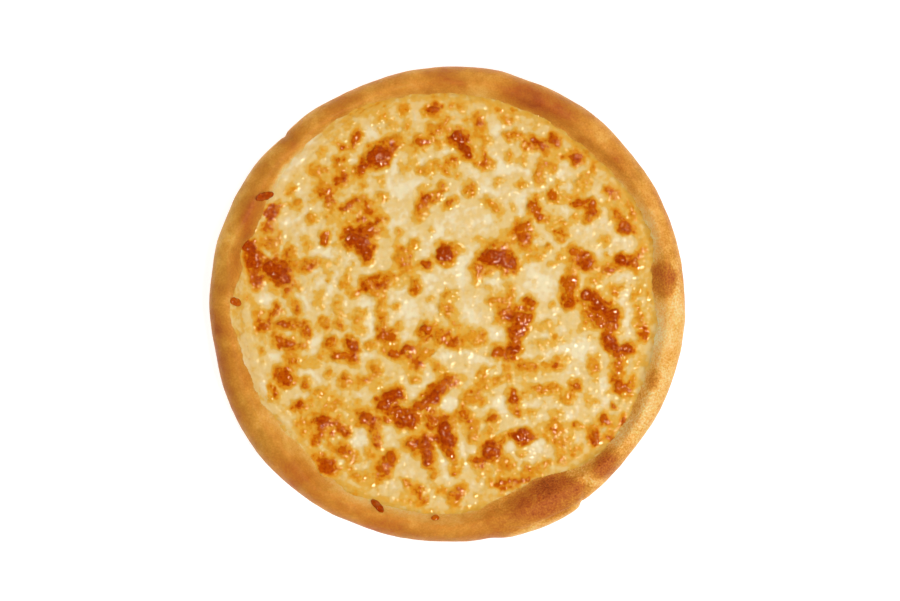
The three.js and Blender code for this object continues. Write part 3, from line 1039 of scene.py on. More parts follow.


# The spots of the next three tables were placed one by one from the photograph.
BLISTERS: tuple[Browned, ...] = rows_of(
    Browned,
    (378, 156, 15, 9, 0.92, 20), (363, 168.5, 8, 5.5, 0.88, 50), (391, 142, 10, 5.5, 0.66, 15),
    (358, 241.5, 15, 9, 0.94, -20), (366.5, 253, 9, 7, 0.9, -45), (368, 229, 8, 5, 0.82, 10),
    (345, 233, 6, 4, 0.66), (457, 138, 9, 8, 0.94), (465.5, 150, 10, 5.5, 0.93, -55),
    (274, 270, 14, 9, 0.93, -25), (284, 278, 9, 7, 0.9, -45), (293, 264, 6, 5, 0.66),
    (249, 247, 8, 7, 0.93, -70), (253, 260, 11, 7, 0.88, -60), (260, 256, 5, 5, 0.76),
    (445, 254, 9.5, 9, 0.96), (457, 248, 7, 5, 0.5), (492, 257, 15, 9, 0.93, 8),
    (509, 263, 10, 7.5, 0.9, -25), (500, 245, 13, 5, 0.62), (478, 268, 5, 6, 0.66),
    (522.5, 318, 10, 8, 0.84), (518, 329, 8.5, 8, 0.84, 20), (568.5, 290, 12, 6, 0.78, -80),
    (570, 303, 6, 5, 0.84), (571, 279, 6, 5, 0.7), (588.5, 296.5, 9, 6.5, 0.9, -20),
    (598, 305, 9, 6.5, 0.94, -55), (612.5, 315.5, 9, 8, 0.88, -70), (603, 309, 7, 6, 0.76),
    (608, 330, 8, 5, 0.74, 80), (608, 340, 7, 6, 0.9, -60), (615, 348, 8, 5.5, 0.93, -35),
    (626.5, 348.5, 7, 6, 0.9, 45), (586.5, 262.5, 7, 7, 0.9), (575, 252, 7, 5, 0.78, -35),
    (621, 261, 7, 5.5, 0.93), (634, 264, 7, 6, 0.74, -45), (392, 396, 12, 8, 0.93, 20),
    (384, 405, 8, 6, 0.88, -20), (397, 412, 9, 5.5, 0.86, -35), (408, 420, 9, 7, 0.9, -20),
    (400, 426, 5, 4, 0.78), (433.5, 397.5, 10, 7, 0.92, 60), (440, 388, 9, 5, 0.86, 35),
    (421, 404, 9, 6, 0.82, 35), (447, 381, 8, 4.5, 0.76, 10), (445, 430, 11, 8, 0.95, -85),
    (447, 440, 8, 7, 0.92, -70), (451, 452, 6, 5.5, 0.8, -45), (425, 443, 8, 6, 0.88, -65),
    (428, 457, 9, 6, 0.9, -80), (410, 445, 7, 4.5, 0.78, -20), (430, 418, 8, 5, 0.74, -45),
    (490, 451.5, 9.5, 7.5, 0.9, 10), (478, 461, 6, 4.5, 0.82, 10), (520.5, 435, 9, 6.5, 0.91, 10),
    (529, 436, 7, 5, 0.78, -10), (513, 398, 7, 6, 0.88, -30), (517, 411, 6, 4.5, 0.7, -75),
    (498, 353, 8, 6, 0.82, 15), (513, 351, 8, 6, 0.92, 30), (507, 352, 5, 4, 0.76),
    (366, 418, 8, 8, 0.84, -10), (375.5, 433, 11, 5.5, 0.68, -85), (322, 420, 7, 5.5, 0.88, -15),
    (338, 426, 9, 4, 0.72, -25), (593, 208, 8, 5.5, 0.82, -60), (579, 203, 7, 4.5, 0.82, -5),
    (589, 217, 6, 4.5, 0.7, 60), (624, 226, 7.5, 5.5, 0.86, -35), (616, 215, 7, 4, 0.7, -60),
    (523, 227, 8, 5.5, 0.76, 35), (527, 236, 7, 5, 0.7, -30), (327, 467, 9.5, 8.5, 0.86, -45),
    (285, 324, 8, 4, 0.82), (297, 325, 8, 5, 0.68), (308, 331, 8, 3.5, 0.75, -75),
    (280, 340, 6, 4, 0.75, -35), (288, 345, 6, 4.5, 0.85, -10), (301, 346, 6, 4, 0.66),
    (286, 377, 9, 7, 0.85, -60), (280, 370, 5, 5, 0.7), (352, 345, 9, 5, 0.88, -55),
    (343, 356, 13, 4.5, 0.75, 5), (355, 362, 5, 4, 0.62, -20), (425, 265, 6, 4.5, 0.86, -10),
    (427, 330, 7, 6, 0.84, 20), (405.5, 350, 8, 6, 0.88, 30), (393, 353, 7, 4.5, 0.82, 10),
    (388, 336, 9, 6, 0.78, -5), (552, 195, 6, 6, 0.76), (534, 207, 7, 6, 0.76, -20),
    (541, 217, 5, 4, 0.82, -20), (478, 119, 5, 4, 0.66, -60), (481, 129, 7, 3.5, 0.62, -70),
    (434.5, 110, 7, 5, 0.84, -10), (428, 114, 7, 2.5, 0.58), (326, 190, 8, 5, 0.68, -10),
    (328, 199, 7, 5, 0.74, -60), (341, 181, 7, 4, 0.8, 30), (356, 140, 9, 4, 0.8, 62),
    (383, 164, 6.5, 4.5, 0.87), (593.5, 280, 5, 4.5, 0.55), (386, 418, 5, 4, 0.75), (343, 149, 3, 2, 0.82),
    (338, 161, 4, 3.8, 0.74), (348, 205, 9, 2.6, 0.82, 42), (367, 205, 8.5, 2.6, 0.74, -62),
    (325, 239, 7, 4, 0.78, -88), (270, 211, 8.5, 6, 0.88, 62), (537, 143, 9.5, 4, 0.88, -36),
    (553, 140.5, 5.5, 5.5, 0.82), (577, 160, 4.5, 4, 0.84), (576, 153, 4, 4, 0.5),
    (421, 142, 6.5, 5, 0.8, -20), (436, 131, 13, 3.2, 0.66, 28), (453, 161, 5, 4, 0.72, -10),
    (441, 167, 7, 4, 0.55, -35), (427, 170, 5, 5.5, 0.55), (443, 186, 3.6, 3.2, 0.66),
    (470, 188, 6.5, 5, 0.64, 10), (427, 197, 4.5, 3.2, 0.88, 10), (422, 205, 8, 3.6, 0.7, 62),
    (420, 214, 6, 5, 0.5), (450, 203, 6, 3, 0.72, 35), (486, 160, 4, 4, 0.66),
    (498, 179, 4, 3.2, 0.5, -15), (493, 206, 11, 4.5, 0.6, -42), (514, 135, 10, 4, 0.66),
    (513, 110, 3.5, 2, 0.66), (523, 184, 4, 2.8, 0.56, -20), (539, 173, 12, 5, 0.62, 85),
    (582, 183, 8, 7, 0.5), (612, 192, 6, 4.5, 0.56), (630, 207, 4, 3, 0.62), (634, 215, 4, 3, 0.6, -30),
    (574, 217, 3.5, 4, 0.5), (562, 234, 6, 3.5, 0.7), (524, 243, 7, 6, 0.68, -30),
    (609, 270, 6, 3.8, 0.78, -5), (615, 294, 4.5, 4, 0.66), (530, 302, 5.5, 5, 0.84, -20),
    (587, 316, 4, 4, 0.64), (641, 322, 4, 5, 0.62), (644, 336, 6, 5, 0.82, -70), (525, 366, 10, 4.5, 0.66),
    (552, 366, 12, 3.6, 0.56, -8), (563, 359, 7, 3, 0.46, 20), (592, 364, 9, 4, 0.58, -85),
    (548, 343, 14, 3, 0.42, 14), (543, 389, 15, 3.6, 0.66), (576, 385, 5.5, 5, 0.78, -30),
    (567, 398, 6, 7, 0.55), (618, 385, 5.5, 5, 0.84, -40), (624, 391, 4, 4, 0.6), (619, 376, 5, 4, 0.6),
    (632, 383, 6, 2.6, 0.66, 80), (613, 406, 3.6, 2.6, 0.78, -30), (604, 418, 4.6, 4.8, 0.82),
    (623, 421, 5.5, 2.6, 0.86, 80), (595, 438, 10, 4, 0.78, -85), (594, 427, 6, 4, 0.55),
    (610, 438, 5, 3.2, 0.76, -5), (556, 426, 8, 5.5, 0.6, -15), (576, 425, 4, 3.6, 0.6),
    (559, 450, 12, 4.5, 0.5, -85), (567, 440, 5, 4, 0.5), (575, 451, 3.6, 3, 0.62),
    (528, 468, 3, 3.2, 0.72), (538, 468, 2.4, 3.6, 0.62), (504, 483, 6.5, 4.5, 0.8, -15),
    (491, 482, 2.8, 2.8, 0.62), (453, 493, 6, 5, 0.68, -10), (460, 489, 5, 3.5, 0.55),
    (454, 502, 4, 3, 0.6), (419, 491, 5.5, 3.6, 0.72, -80), (433, 475, 5.5, 4.5, 0.62, 40),
    (391, 457, 7, 5.5, 0.82, -80), (383, 466, 7, 4, 0.72, 75), (382, 478, 4, 3, 0.66),
    (455, 462, 8, 3.6, 0.58, -80), (454, 473, 4, 3.6, 0.7), (506, 462, 6, 5, 0.62),
    (500, 440, 9, 4, 0.7, 30), (464, 414, 7, 5.5, 0.72, -30), (474, 424, 4, 4, 0.55),
    (474, 436, 5, 6, 0.56), (471, 399, 10, 4.5, 0.62, -5), (474, 389, 6, 4, 0.5),
    (491, 418, 7, 4, 0.78, 25), (484, 373, 4, 4, 0.55), (485, 385, 4, 5, 0.5), (505, 376, 4.5, 4, 0.52),
    (416, 286, 5.5, 7, 0.68), (403, 258, 9, 6, 0.52, 10), (406, 271, 6, 5, 0.46), (415, 243, 5, 3, 0.58),
    (374, 284, 12, 6.5, 0.68, -5), (375, 292, 8, 6, 0.62, -50), (386, 279, 6, 5, 0.68),
    (441, 336, 6, 8, 0.66), (456, 343, 6, 4.6, 0.74, -15), (475, 338, 8, 10, 0.55),
    (499, 300, 12, 4.5, 0.64, -5), (503, 311, 5, 6, 0.72), (500, 319, 7, 4, 0.6),
    (442, 308, 4.6, 4.6, 0.52), (427, 353, 8, 6, 0.6, 10), (416, 362, 4, 2.6, 0.76),
    (325, 325, 6, 5, 0.64), (340, 325, 4.5, 3.2, 0.7), (331, 342, 6, 5.5, 0.7, 40),
    (310, 263, 9, 4.5, 0.66, 15), (305, 268, 5, 4, 0.68), (256, 282, 6, 4.6, 0.78, 80),
    (298, 287, 3.2, 3, 0.64), (288, 292, 4.4, 3.6, 0.78), (295, 304, 5, 4, 0.6),
    (298, 312, 4, 4, 0.68, -50), (275, 311, 8, 3.6, 0.74, 62), (263, 326, 5, 4.6, 0.8),
    (293, 361, 7, 5, 0.68, -10), (361, 313, 7, 2.6, 0.5), (359, 329, 8, 3, 0.46, -10),
    (347, 281, 5.5, 3, 0.52, 80), (354, 291, 4.5, 3.4, 0.54), (320, 298, 9, 4, 0.42, 85),
    (371, 345, 6, 3.4, 0.58), (376, 368, 5, 7, 0.66), (306, 384, 4.6, 5, 0.7), (317, 393, 5.5, 3.4, 0.52),
    (345, 381, 7, 5, 0.62, 75), (362, 380, 5.5, 3, 0.66, -5), (347, 433, 4.5, 3.6, 0.64),
    (352, 457, 8, 3, 0.58, 85), (357, 476, 4.5, 4, 0.58), (342, 449, 6, 5.5, 0.76, -30),
    (300, 405, 5.5, 3.8, 0.86), (318, 431, 9, 4, 0.55, 85), (316, 442, 4, 3, 0.56),
    (270, 243, 9, 3.4, 0.68), (287, 253, 8, 3, 0.64, 38), (297, 203, 5, 3.6, 0.6),
    (310, 218, 4.6, 4.2, 0.6), (382, 196, 4, 3.6, 0.6), (383, 219, 5, 2.8, 0.66, -20),
    (361, 222, 2.6, 2.4, 0.62), (392, 125, 4, 4, 0.44), (406, 125, 5.5, 2.6, 0.5, 75),
    (404, 108, 3.6, 3.4, 0.48), (385, 107, 2, 2, 0.64), (447, 118, 3.4, 3, 0.56),
    (462, 107, 4, 2.6, 0.48, 90), (440, 144, 4, 3.6, 0.52), (318, 172, 8, 3.8, 0.6, -15),
    (322, 151, 4.5, 3.6, 0.42), (271, 234, 6, 4, 0.42), (312, 362, 9, 5, 0.42),
    (381, 310, 10, 3.6, 0.52, 88), (382, 328, 9, 4.4, 0.64, 85), (509, 286, 4.4, 4, 0.46),
    (476, 275, 9, 4, 0.52, 88), (550, 224, 6, 4.4, 0.45, 85), (562, 199, 7, 4, 0.45, -20),
    (509, 157, 3.4, 3, 0.54), (556, 160, 9, 4, 0.42, 70), (566, 157, 3, 2, 0.58),
    (546, 154, 2.4, 2.4, 0.6), (559, 181, 2.6, 3, 0.6), (573, 266, 8, 5, 0.55, 80),
    (618, 366, 11, 5, 0.7, 85), (606, 240, 6, 3, 0.52, 85), (594, 402, 3.6, 3.4, 0.48),
    (406, 503, 8, 3, 0.42, 10), (440, 370, 5, 4, 0.5), (330, 372, 3.4, 3.6, 0.58), (415, 380, 3, 3, 0.52),
    (515, 340, 8, 4.5, 0.74, 80), (339, 312, 8, 6, 0.46, -40), (536, 256, 5, 5, 0.52),
    (545, 324, 8, 4, 0.42), (386, 470, 5, 5, 0.74), (371, 476, 7, 5, 0.48), (450, 297, 8, 5, 0.44),
    (600, 322, 6, 5, 0.78), (527, 480, 5, 4, 0.72), (424, 338, 4.5, 4, 0.7), (418, 453, 5, 4, 0.66),
    (314, 457, 4.5, 4, 0.64), (515, 484, 4, 3.6, 0.62), (522, 162, 4, 4, 0.5),
)

AMBER_FIELDS: tuple[Browned, ...] = rows_of(
    Browned,
    (340, 178, 26, 16, 0.35, 10), (362, 215, 22, 20, 0.45), (408, 150, 14, 7, 0.35), (410, 131, 8, 7, 0.3),
    (472, 132, 12, 12, 0.35), (401, 268, 10, 24, 0.35), (410, 362, 9, 12, 0.35), (320, 424, 26, 22, 0.4),
    (378, 453, 8, 20, 0.35), (432, 428, 24, 20, 0.35), (512, 236, 14, 8, 0.35), (592, 310, 12, 18, 0.5),
    (512, 320, 10, 20, 0.45), (450, 328, 13, 22, 0.35), (480, 382, 7, 14, 0.35), (525, 372, 12, 7, 0.35),
    (562, 402, 9, 8, 0.35), (470, 425, 8, 14, 0.35), (530, 482, 22, 5, 0.4, 20), (495, 472, 24, 12, 0.35),
    (562, 428, 16, 7, 0.45), (425, 205, 10, 10, 0.35), (273, 226, 8, 20, 0.35), (360, 422, 16, 8, 0.3),
    (330, 208, 20, 9, 0.35, -75), (333, 399, 14, 10, 0.4, -30), (375, 377, 14, 12, 0.35),
    (408, 484, 26, 8, 0.3, -10), (607, 268, 20, 10, 0.3), (270, 325, 10, 18, 0.3), (396, 350, 22, 8, 0.3),
)

CREAM_POOLS: tuple[Browned, ...] = rows_of(
    Browned,
    (394, 165, 10, 4, 0, 85), (400, 190, 9, 8), (322, 245, 13, 5, 0, 88), (346, 262, 8, 6),
    (361, 268, 7, 4), (372, 131, 7, 6, 0, 60), (373, 175, 9, 3.5, 0, 5), (432, 210, 6, 4),
    (298, 216, 8, 6), (308, 158, 7, 5, 0, 20), (263, 300, 5.5, 7.5), (272, 355, 5, 5), (315, 345, 5, 8),
    (334, 334, 4.5, 4), (369, 355, 6, 5), (367, 303, 10, 5, 0, 10), (371, 322, 12, 4, 0, 88),
    (408, 307, 10, 8, 0, 80), (428, 282, 9, 7, 0, 60), (430, 310, 9, 8), (470, 313, 10, 8),
    (461, 272, 18, 7, 0, 88), (430, 238, 11, 7, 0, 20), (492, 283, 9, 5), (498, 333, 10, 8),
    (478, 360, 18, 6), (440, 356, 12, 4), (450, 403, 8, 7), (463, 447, 9, 4.5, 0, 85),
    (443, 470, 10, 4, 0, 85), (392, 488, 11, 10), (358, 437, 11, 7, 0, 85), (587, 386, 8, 6),
    (500, 402, 11, 4, 0, 88), (538, 405, 10, 6), (536, 452, 12, 5, 0, 80), (540, 285, 14, 13),
    (563, 172, 8, 8), (569, 188, 7, 4, 0, 85), (484, 192, 8, 7), (506, 170, 11, 7), (522, 202, 8, 12),
    (484, 222, 16, 6, 0, 10), (620, 275, 8, 6), (627, 318, 11, 4, 0, 85), (578, 350, 11, 8),
    (602, 385, 7, 7), (560, 405, 9, 5), (548, 320, 12, 6), (620, 240, 8, 5), (443, 478, 14, 4),
    (388, 186, 8, 5, 0, 85), (352, 160, 5, 4), (420, 256, 8, 6), (447, 231, 9, 5), (477, 249, 5, 4, 0, 80),
    (546, 191, 6, 5), (330, 252, 12, 5), (317, 284, 5, 8), (470, 384, 7, 5), (583, 372, 8, 9),
    (630, 334, 5, 11, 0, -20), (590, 420, 6, 6), (522, 420, 7, 5), (488, 350, 7, 4), (443, 325, 6, 4),
    (543, 201, 5, 4), (539, 242, 7, 5), (434, 250, 10, 5), (371, 272, 8, 5), (334, 369, 9, 6),
    (267, 253, 5, 4), (400, 339, 4, 3), (491, 315, 5, 6), (545, 362, 8, 5), (305, 199, 9, 4),
    (455, 433, 5, 5), (381, 124, 8, 4, 0, 30), (286, 199, 8, 6), (316, 253, 8, 8), (597, 410, 7, 7),
    (469, 369, 6, 5),
)


@dataclass
class Melt:
    """What the melted top is like at each point.

    The lift is in millimetres above the cheese's level. Golden is the browning between
    the browned spots, edge the distance in millimetres from the nearest spot's edge,
    below 0 inside it, and tone that spot's browning.
    """

    lift: Array
    golden: Array
    edge: Array
    tone: Array


@dataclass
class Cheese:
    """The melted cheese: a sheet with pools, shreds and blisters that fills the dish.

    Sizes are in millimetres, and tones run from 0 for cream to 1 for char. An edge is how
    softly a thing ends, and a pooled share is how much of it still shows in a cream pool.
    """

    form: LoafForm
    bread: Bread
    photo: PhotoFrame
    noise: Noise
    cells: int = 330
    margin: float = 5.0
    reach: float = 1.6
    wrinkle: float = 0.6
    film: float = 0.32
    film_past_cream: float = 0.6
    film_past_dish: float = 0.5
    film_tone: float = 0.38
    film_tone_and_highlight_swells: tuple[Swell, ...] = rows_of(
        Swell,
        # (138, 9) pales the film on the inner slope: a painted highlight.
        (138, 9, -0.28), (200, 13, -0.2), (345, 12, -0.1), (293, 10, -0.12),
    )
    rim_tone: float = 0.12
    underside: float = 5.8
    seed: int = 5
    shred_count: int = 420
    shred_length: Span = (6.0, 15.0)
    shred_width: Span = (1.8, 3.2)
    shred_rise: Span = (0.2, 0.6)
    spot_count: int = 300
    spot_size: Span = (1.2, 3.2)
    spot_tone: Span = (0.42, 0.66)
    drift_across: tuple[Ripple, ...] = rows_of(Ripple, (6, 1.5, 1.0), (2.4, 0.6, 2.0))
    drift_along: tuple[Ripple, ...] = rows_of(Ripple, (6, 1.5, 7.0), (2.4, 0.6, 8.0))
    pool_edge: float = 0.8
    pool_dip: float = 0.3
    shred_edge: float = 0.35
    shred_relief: float = 0.45
    field_edge: float = 1.6
    field_gold: float = 0.7
    blister_edge: float = 0.7
    least_rise: float = 0.35
    rise_by_width: float = 0.34
    most_rise: float = 2.3
    halo: float = 0.62
    halo_edge: float = 0.5
    halo_reach: float = 1.0
    halo_by_width: float = 0.2
    gold: float = 0.175
    gold_ripple: Ripple = Ripple(10, 0.12, 3.0)
    pooled_gold: float = 0.52
    pooled_field: float = 0.5
    pooled_spot: float = 0.3
    pooled_shred: float = 0.4
    mottle: tuple[Ripple, ...] = rows_of(Ripple, (4.2, 0.12, 4.0), (2.1, 0.1, 5.0))
    mottle_least: float = 0.35
    mottle_by_gold: float = 0.9
    mottle_end: float = 0.6
    contrast: float = 0.04
    contrast_middle: float = 0.33
    contrast_span: float = 0.12
    melt: tuple[Ripple, ...] = rows_of(Ripple, (20, 0.4, 6.0), (7, 0.32, 9.0), (2.6, 0.1, 10.0))
    golden_relief: Ripple = Ripple(1.6, 0.12, 11.0)
    calm_width: float = 5.0
    calm_least: float = 0.3
    wrinkle_least: float = 0.6
    wrinkle_ripple: Ripple = Ripple(16, 1.0, 15.0)
    wrinkle_inset: float = 1.4
    wrinkle_width: float = 0.9
    film_ripple: Ripple = Ripple(3.5, 0.6, 13.0)
    film_rag: Ripple = Ripple(7, 0.9, 12.0)
    film_mottle: Ripple = Ripple(6, 0.16, 14.0)
    bare_depth: float = 0.9
    bare_span: Span = (-0.6, 1.2)
    skin_span: Span = (-0.5, 1.5)
    rim_span: Span = (-10, -3)
    thin_span: Span = (-2, 1.5)
    joint_start: float = -6.0
    joint_blend: float = 0.4
    least_golden: float = 0.03

    def film_end(self, angle: Array) -> Array:
        """Give the radius at each angle where the thin film on the slope ends."""
        past_cream = self.form.cream_limit(angle) + self.film_past_cream
        return np.maximum(past_cream, self.form.cheese_radius(angle) + self.film_past_dish)

    def sheet(self) -> Mesh:
        """Cut a grid to the dish's outline and give it an edge and an underside.

        Returns:
            The sheet, flat at height 0.
        """
        half = self.form.cream_radius + self.margin
        shape = bmesh.new()
        bmesh.ops.create_grid(shape, x_segments=self.cells, y_segments=self.cells, size=half)
        angle, radius = polar(np.array([vert.co for vert in shape.verts]))
        outside = radius > self.film_end(angle) + self.reach
        cut = [vert for vert, gone in zip(shape.verts, outside) if gone]
        bmesh.ops.delete(shape, geom=cut, context="VERTS")
        ends = [vert for vert in shape.verts if len(vert.link_edges) == 1]
        bmesh.ops.delete(shape, geom=ends, context="VERTS")
        border = [edge for edge in shape.edges if edge.is_boundary]
        for vert in {vert for edge in border for vert in edge.verts}:
            angle, radius = polar(np.array([vert.co]))
            stretch = (self.film_end(angle)[0] + self.reach) / radius[0]
            vert.co.xy *= stretch
        for height, scale in ((-1.0, 1.0), (-1.0, 0.0)):
            grown = bmesh.ops.extrude_edge_only(shape, edges=border)["geom"]
            border = [item for item in grown if isinstance(item, bmesh.types.BMEdge)]
            for vert in {vert for edge in border for vert in edge.verts}:
                vert.co = Vector((vert.co.x * scale, vert.co.y * scale, height))
        bottom = [vert for vert in shape.verts if vert.co.z < 0 and vert.co.to_2d().length < TINY]
        bmesh.ops.remove_doubles(shape, verts=bottom, dist=TINY)
        bmesh.ops.recalc_face_normals(shape, faces=shape.faces)
        return MeshWork.finished(shape, "melted_cheese")

    def drawn_place(self, draw: np.random.Generator) -> tuple[float, float]:
        """Draw a place in the dish.

        Args:
            draw: Where the random numbers come from.

        Returns:
            The place's pixel in the photograph.
        """
        radius = self.form.inner * math.sqrt(draw.random()) / self.photo.pixel
        turn = draw.uniform(0, 2 * math.pi)
        across, down = radius * math.cos(turn), radius * math.sin(turn)
        return self.photo.middle_column + across, self.photo.middle_row + down

    def strewn(self) -> tuple[list[Browned], list[Browned]]:
        """Draw the shreds and small golden spots that lie all over the dish.

        Returns:
            The shreds, whose tone is their rise, and the spots.
        """
        draw = np.random.default_rng(self.seed)
        shreds = [
            Browned(*self.drawn_place(draw), draw.uniform(*self.shred_length), draw.uniform(*self.shred_width),
                    turn=draw.uniform(0, 180), tone=draw.uniform(*self.shred_rise))
            for _ in range(self.shred_count)
        ]
        spots = []
        for _ in range(self.spot_count):
            size = draw.uniform(*self.spot_size)
            spots.append(Browned(*self.drawn_place(draw), size * draw.uniform(1, 2), size,
                                 turn=draw.uniform(0, 180), tone=draw.uniform(*self.spot_tone)))
        return shreds, spots

    def melted(self, points: Array) -> Melt:
        """Work out what the melted top is like.

        Args:
            points: Points on the flat cheese, in millimetres.

        Returns:
            The melt at each point.
        """
        noise = self.noise
        across = points[:, 0] + noise.of(points, *self.drift_across)
        along = points[:, 1] + noise.of(points, *self.drift_along)
        shreds, spots = self.strewn()

        pool = np.ones(len(points))
        for one in CREAM_POOLS:
            pick, distance = one.near(across, along, self.photo)
            pool[pick] *= 1 - fall_off(distance, self.pool_edge)

        ridge = np.zeros(len(points))
        for one in shreds:
            pick, distance = one.near(across, along, self.photo)
            ridge[pick] = np.maximum(ridge[pick], one.tone * fall_off(distance, self.shred_edge))

        pale = np.ones(len(points))
        for one in AMBER_FIELDS:
            pick, distance = one.near(across, along, self.photo)
            pale[pick] *= 1 - one.tone * fall_off(distance, self.field_edge)

        edge = np.full(len(points), EDGE_SPAN)
        tone = np.zeros(len(points))
        lift = np.zeros(len(points))
        for one in (*BLISTERS, *spots):
            pick, distance = one.near(across, along, self.photo)
            small = one.small_side
            here = one.tone * (1 if small > self.spot_size[1] else from_least(self.pooled_spot, pool[pick]))
            nearer = distance < edge[pick]
            edge[pick] = np.where(nearer, distance, edge[pick])
            tone[pick] = np.where(nearer, here, tone[pick])
            halo = fall_off(distance - self.halo_reach - self.halo_by_width * small, self.halo_edge)
            pale[pick] *= 1 - self.halo * here * halo
            rise = min(self.most_rise, self.least_rise + self.rise_by_width * small) * one.tone
            lift[pick] += (rise * fall_off(distance, self.blister_edge)) ** 3

        golden = self.gold + noise.of(points, self.gold_ripple)
        golden *= from_least(self.pooled_gold, pool)
        golden += self.field_gold * (1 - pale) * from_least(self.pooled_field, pool)
        mottle = self.mottle_least + self.mottle_by_gold * np.clip(golden, 0, self.mottle_end)
        golden += mottle * noise.of(points, *self.mottle)
        golden += self.contrast * np.tanh((golden - self.contrast_middle) / self.contrast_span)

        relief = noise.of(points, *self.melt) + lift ** (1 / 3) - self.pool_dip * (1 - pool)
        relief += self.shred_relief * ridge * from_least(self.pooled_shred, pool)
        relief += golden * noise.of(points, self.golden_relief)
        return Melt(relief, golden, edge, tone)

    def build(self, finish: CheeseFinish) -> Object:
        """Make the cheese.

        Args:
            finish: The cheese's finish.

        Returns:
            The finished piece, in the part's frame.
        """
        mesh = self.sheet()
        form, noise = self.form, self.noise
        points = MeshWork.points(mesh)
        below = points[:, 2] < 0
        angle, radius = polar(points)
        past = radius - form.cheese_radius(angle)
        melt = self.melted(points)

        skin = points.copy()
        skin[:, 2] = form.crust_top(angle, radius)
        bared = radius + noise.of(points, self.film_rag) - self.film_end(angle)
        bared = smooth_step(bared, *self.bare_span)
        film = self.film * (1 + noise.of(points, self.film_ripple)) - self.bare_depth * bared
        on_slope = skin[:, 2] + self.bread.uneven(skin) * smooth_step(past, *self.skin_span) + film
        wrinkle = self.wrinkle * (self.wrinkle_least + noise.of(points, self.wrinkle_ripple))
        wrinkle *= np.exp(-(((past + self.wrinkle_inset) / self.wrinkle_width) ** 2))
        lift = np.clip(-past / self.calm_width, self.calm_least, 1) * melt.lift
        open_top = form.cheese_level + lift + wrinkle
        joined = np.logaddexp(open_top / self.joint_blend, on_slope / self.joint_blend) * self.joint_blend
        top = np.where(past > self.joint_start, joined, open_top)
        points[:, 2] = np.where(below, self.underside, top)

        # The film's tone, paled near 138 degrees by a painted highlight.
        film_tone = self.film_tone + total(self.film_tone_and_highlight_swells, angle) + noise.of(points, self.film_mottle)
        golden = melt.golden + self.rim_tone * smooth_step(past, *self.rim_span)
        golden += smooth_step(past, *self.thin_span) * (film_tone - golden)
        MeshWork.paint(mesh, "golden", np.maximum(golden, self.least_golden))
        MeshWork.paint(mesh, "spot_edge", 0.5 - melt.edge / EDGE_SPAN)
        MeshWork.paint(mesh, "spot_tone", melt.tone)
        MeshWork.move(mesh, form.to_part(points))
        piece = MeshWork.make_object("melted_cheese", mesh, finish.material())
        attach(piece, "root")
        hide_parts("cheese")
        return piece


@dataclass(frozen=True)
class StrayShred:
    """A browned shred on the crust: its place, size and turn."""

    at: float
    radius: float
    length: float
    width: float
    turn: float
    tone: float


@dataclass
class StrayShreds:
    """Browned shreds of cheese that lie on the crust beside the dish."""

    form: LoafForm
    noise: Noise
    thickness: float = 2.6
    sink: float = 0.45
    blunt: float = 0.75
    sway: tuple[Ripple, ...] = rows_of(Ripple, (3, 0.3, 20.0), (3, 0.3, 21.0), (2.2, 0.25, 22.0))
    settle: float = 0.25
    golden: float = 0.5
    mottle: Ripple = Ripple(2.5, 0.06, 23.0)
    shreds: tuple[StrayShred, ...] = rows_of(
        StrayShred,
        (149.5, 115.6, 13, 4.9, 2, 0.92), (179.3, 115.2, 8.2, 4.4, -14, 0.86),
        (250.6, 115.8, 10.8, 4.8, -64, 0.94), (266.4, 116.0, 4.4, 4, 20, 0.84),
    )

    def lie(self, shred: StrayShred) -> Matrix:
        """Work out how a shred lies on the crust.

        Args:
            shred: The shred.

        Returns:
            What turns a ball of diameter 1 into the shred in its place.
        """
        steps = np.array([-1.0, 0.0, 1.0])
        inner, here, outer = self.form.crust_top(np.full(3, shred.at), shred.radius + steps)
        out = math.radians(shred.at)
        height = here + self.thickness / 2 - self.sink
        place = Matrix.Translation((shred.radius * math.cos(out), shred.radius * math.sin(out), height))
        lean = Matrix.Rotation(math.atan((outer - inner) / 2), 4, Vector((math.sin(out), -math.cos(out), 0)))
        turn = Matrix.Rotation(math.radians(shred.turn), 4, "Z")
        return place @ lean @ turn @ Matrix.Diagonal((shred.length, shred.width, self.thickness, 1))

    def build(self, finish: CheeseFinish) -> Object:
        """Make all the shreds as one piece.

        Args:
            finish: The cheese's finish.

        Returns:
            The finished piece, in the part's frame.
        """
        shape = bmesh.new()
        tones: list[float] = []
        for shred in self.shreds:
            made = bmesh.ops.create_icosphere(shape, subdivisions=5, radius=0.5)["verts"]
            for vert in made:
                vert.co.x = math.copysign((2 * abs(vert.co.x)) ** self.blunt / 2, vert.co.x)
            bmesh.ops.transform(shape, matrix=self.lie(shred), verts=made)
            tones += [shred.tone] * len(made)
        mesh = MeshWork.finished(shape, "stray_shreds")
        points = MeshWork.points(mesh)
        for axis, ripple in enumerate(self.sway):
            points[:, axis] += self.noise.of(points, ripple)
        points[:, 2] -= self.settle
        MeshWork.paint(mesh, "golden", np.full(len(points), self.golden))
        MeshWork.paint(mesh, "spot_edge", np.ones(len(points)))
        MeshWork.paint(mesh, "spot_tone", np.array(tones) + self.noise.of(points, self.mottle))
        MeshWork.move(mesh, self.form.to_part(points))
        piece = MeshWork.make_object("stray_shreds", mesh, finish.material())
        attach(piece, "root")
        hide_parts("bread")
        return piece


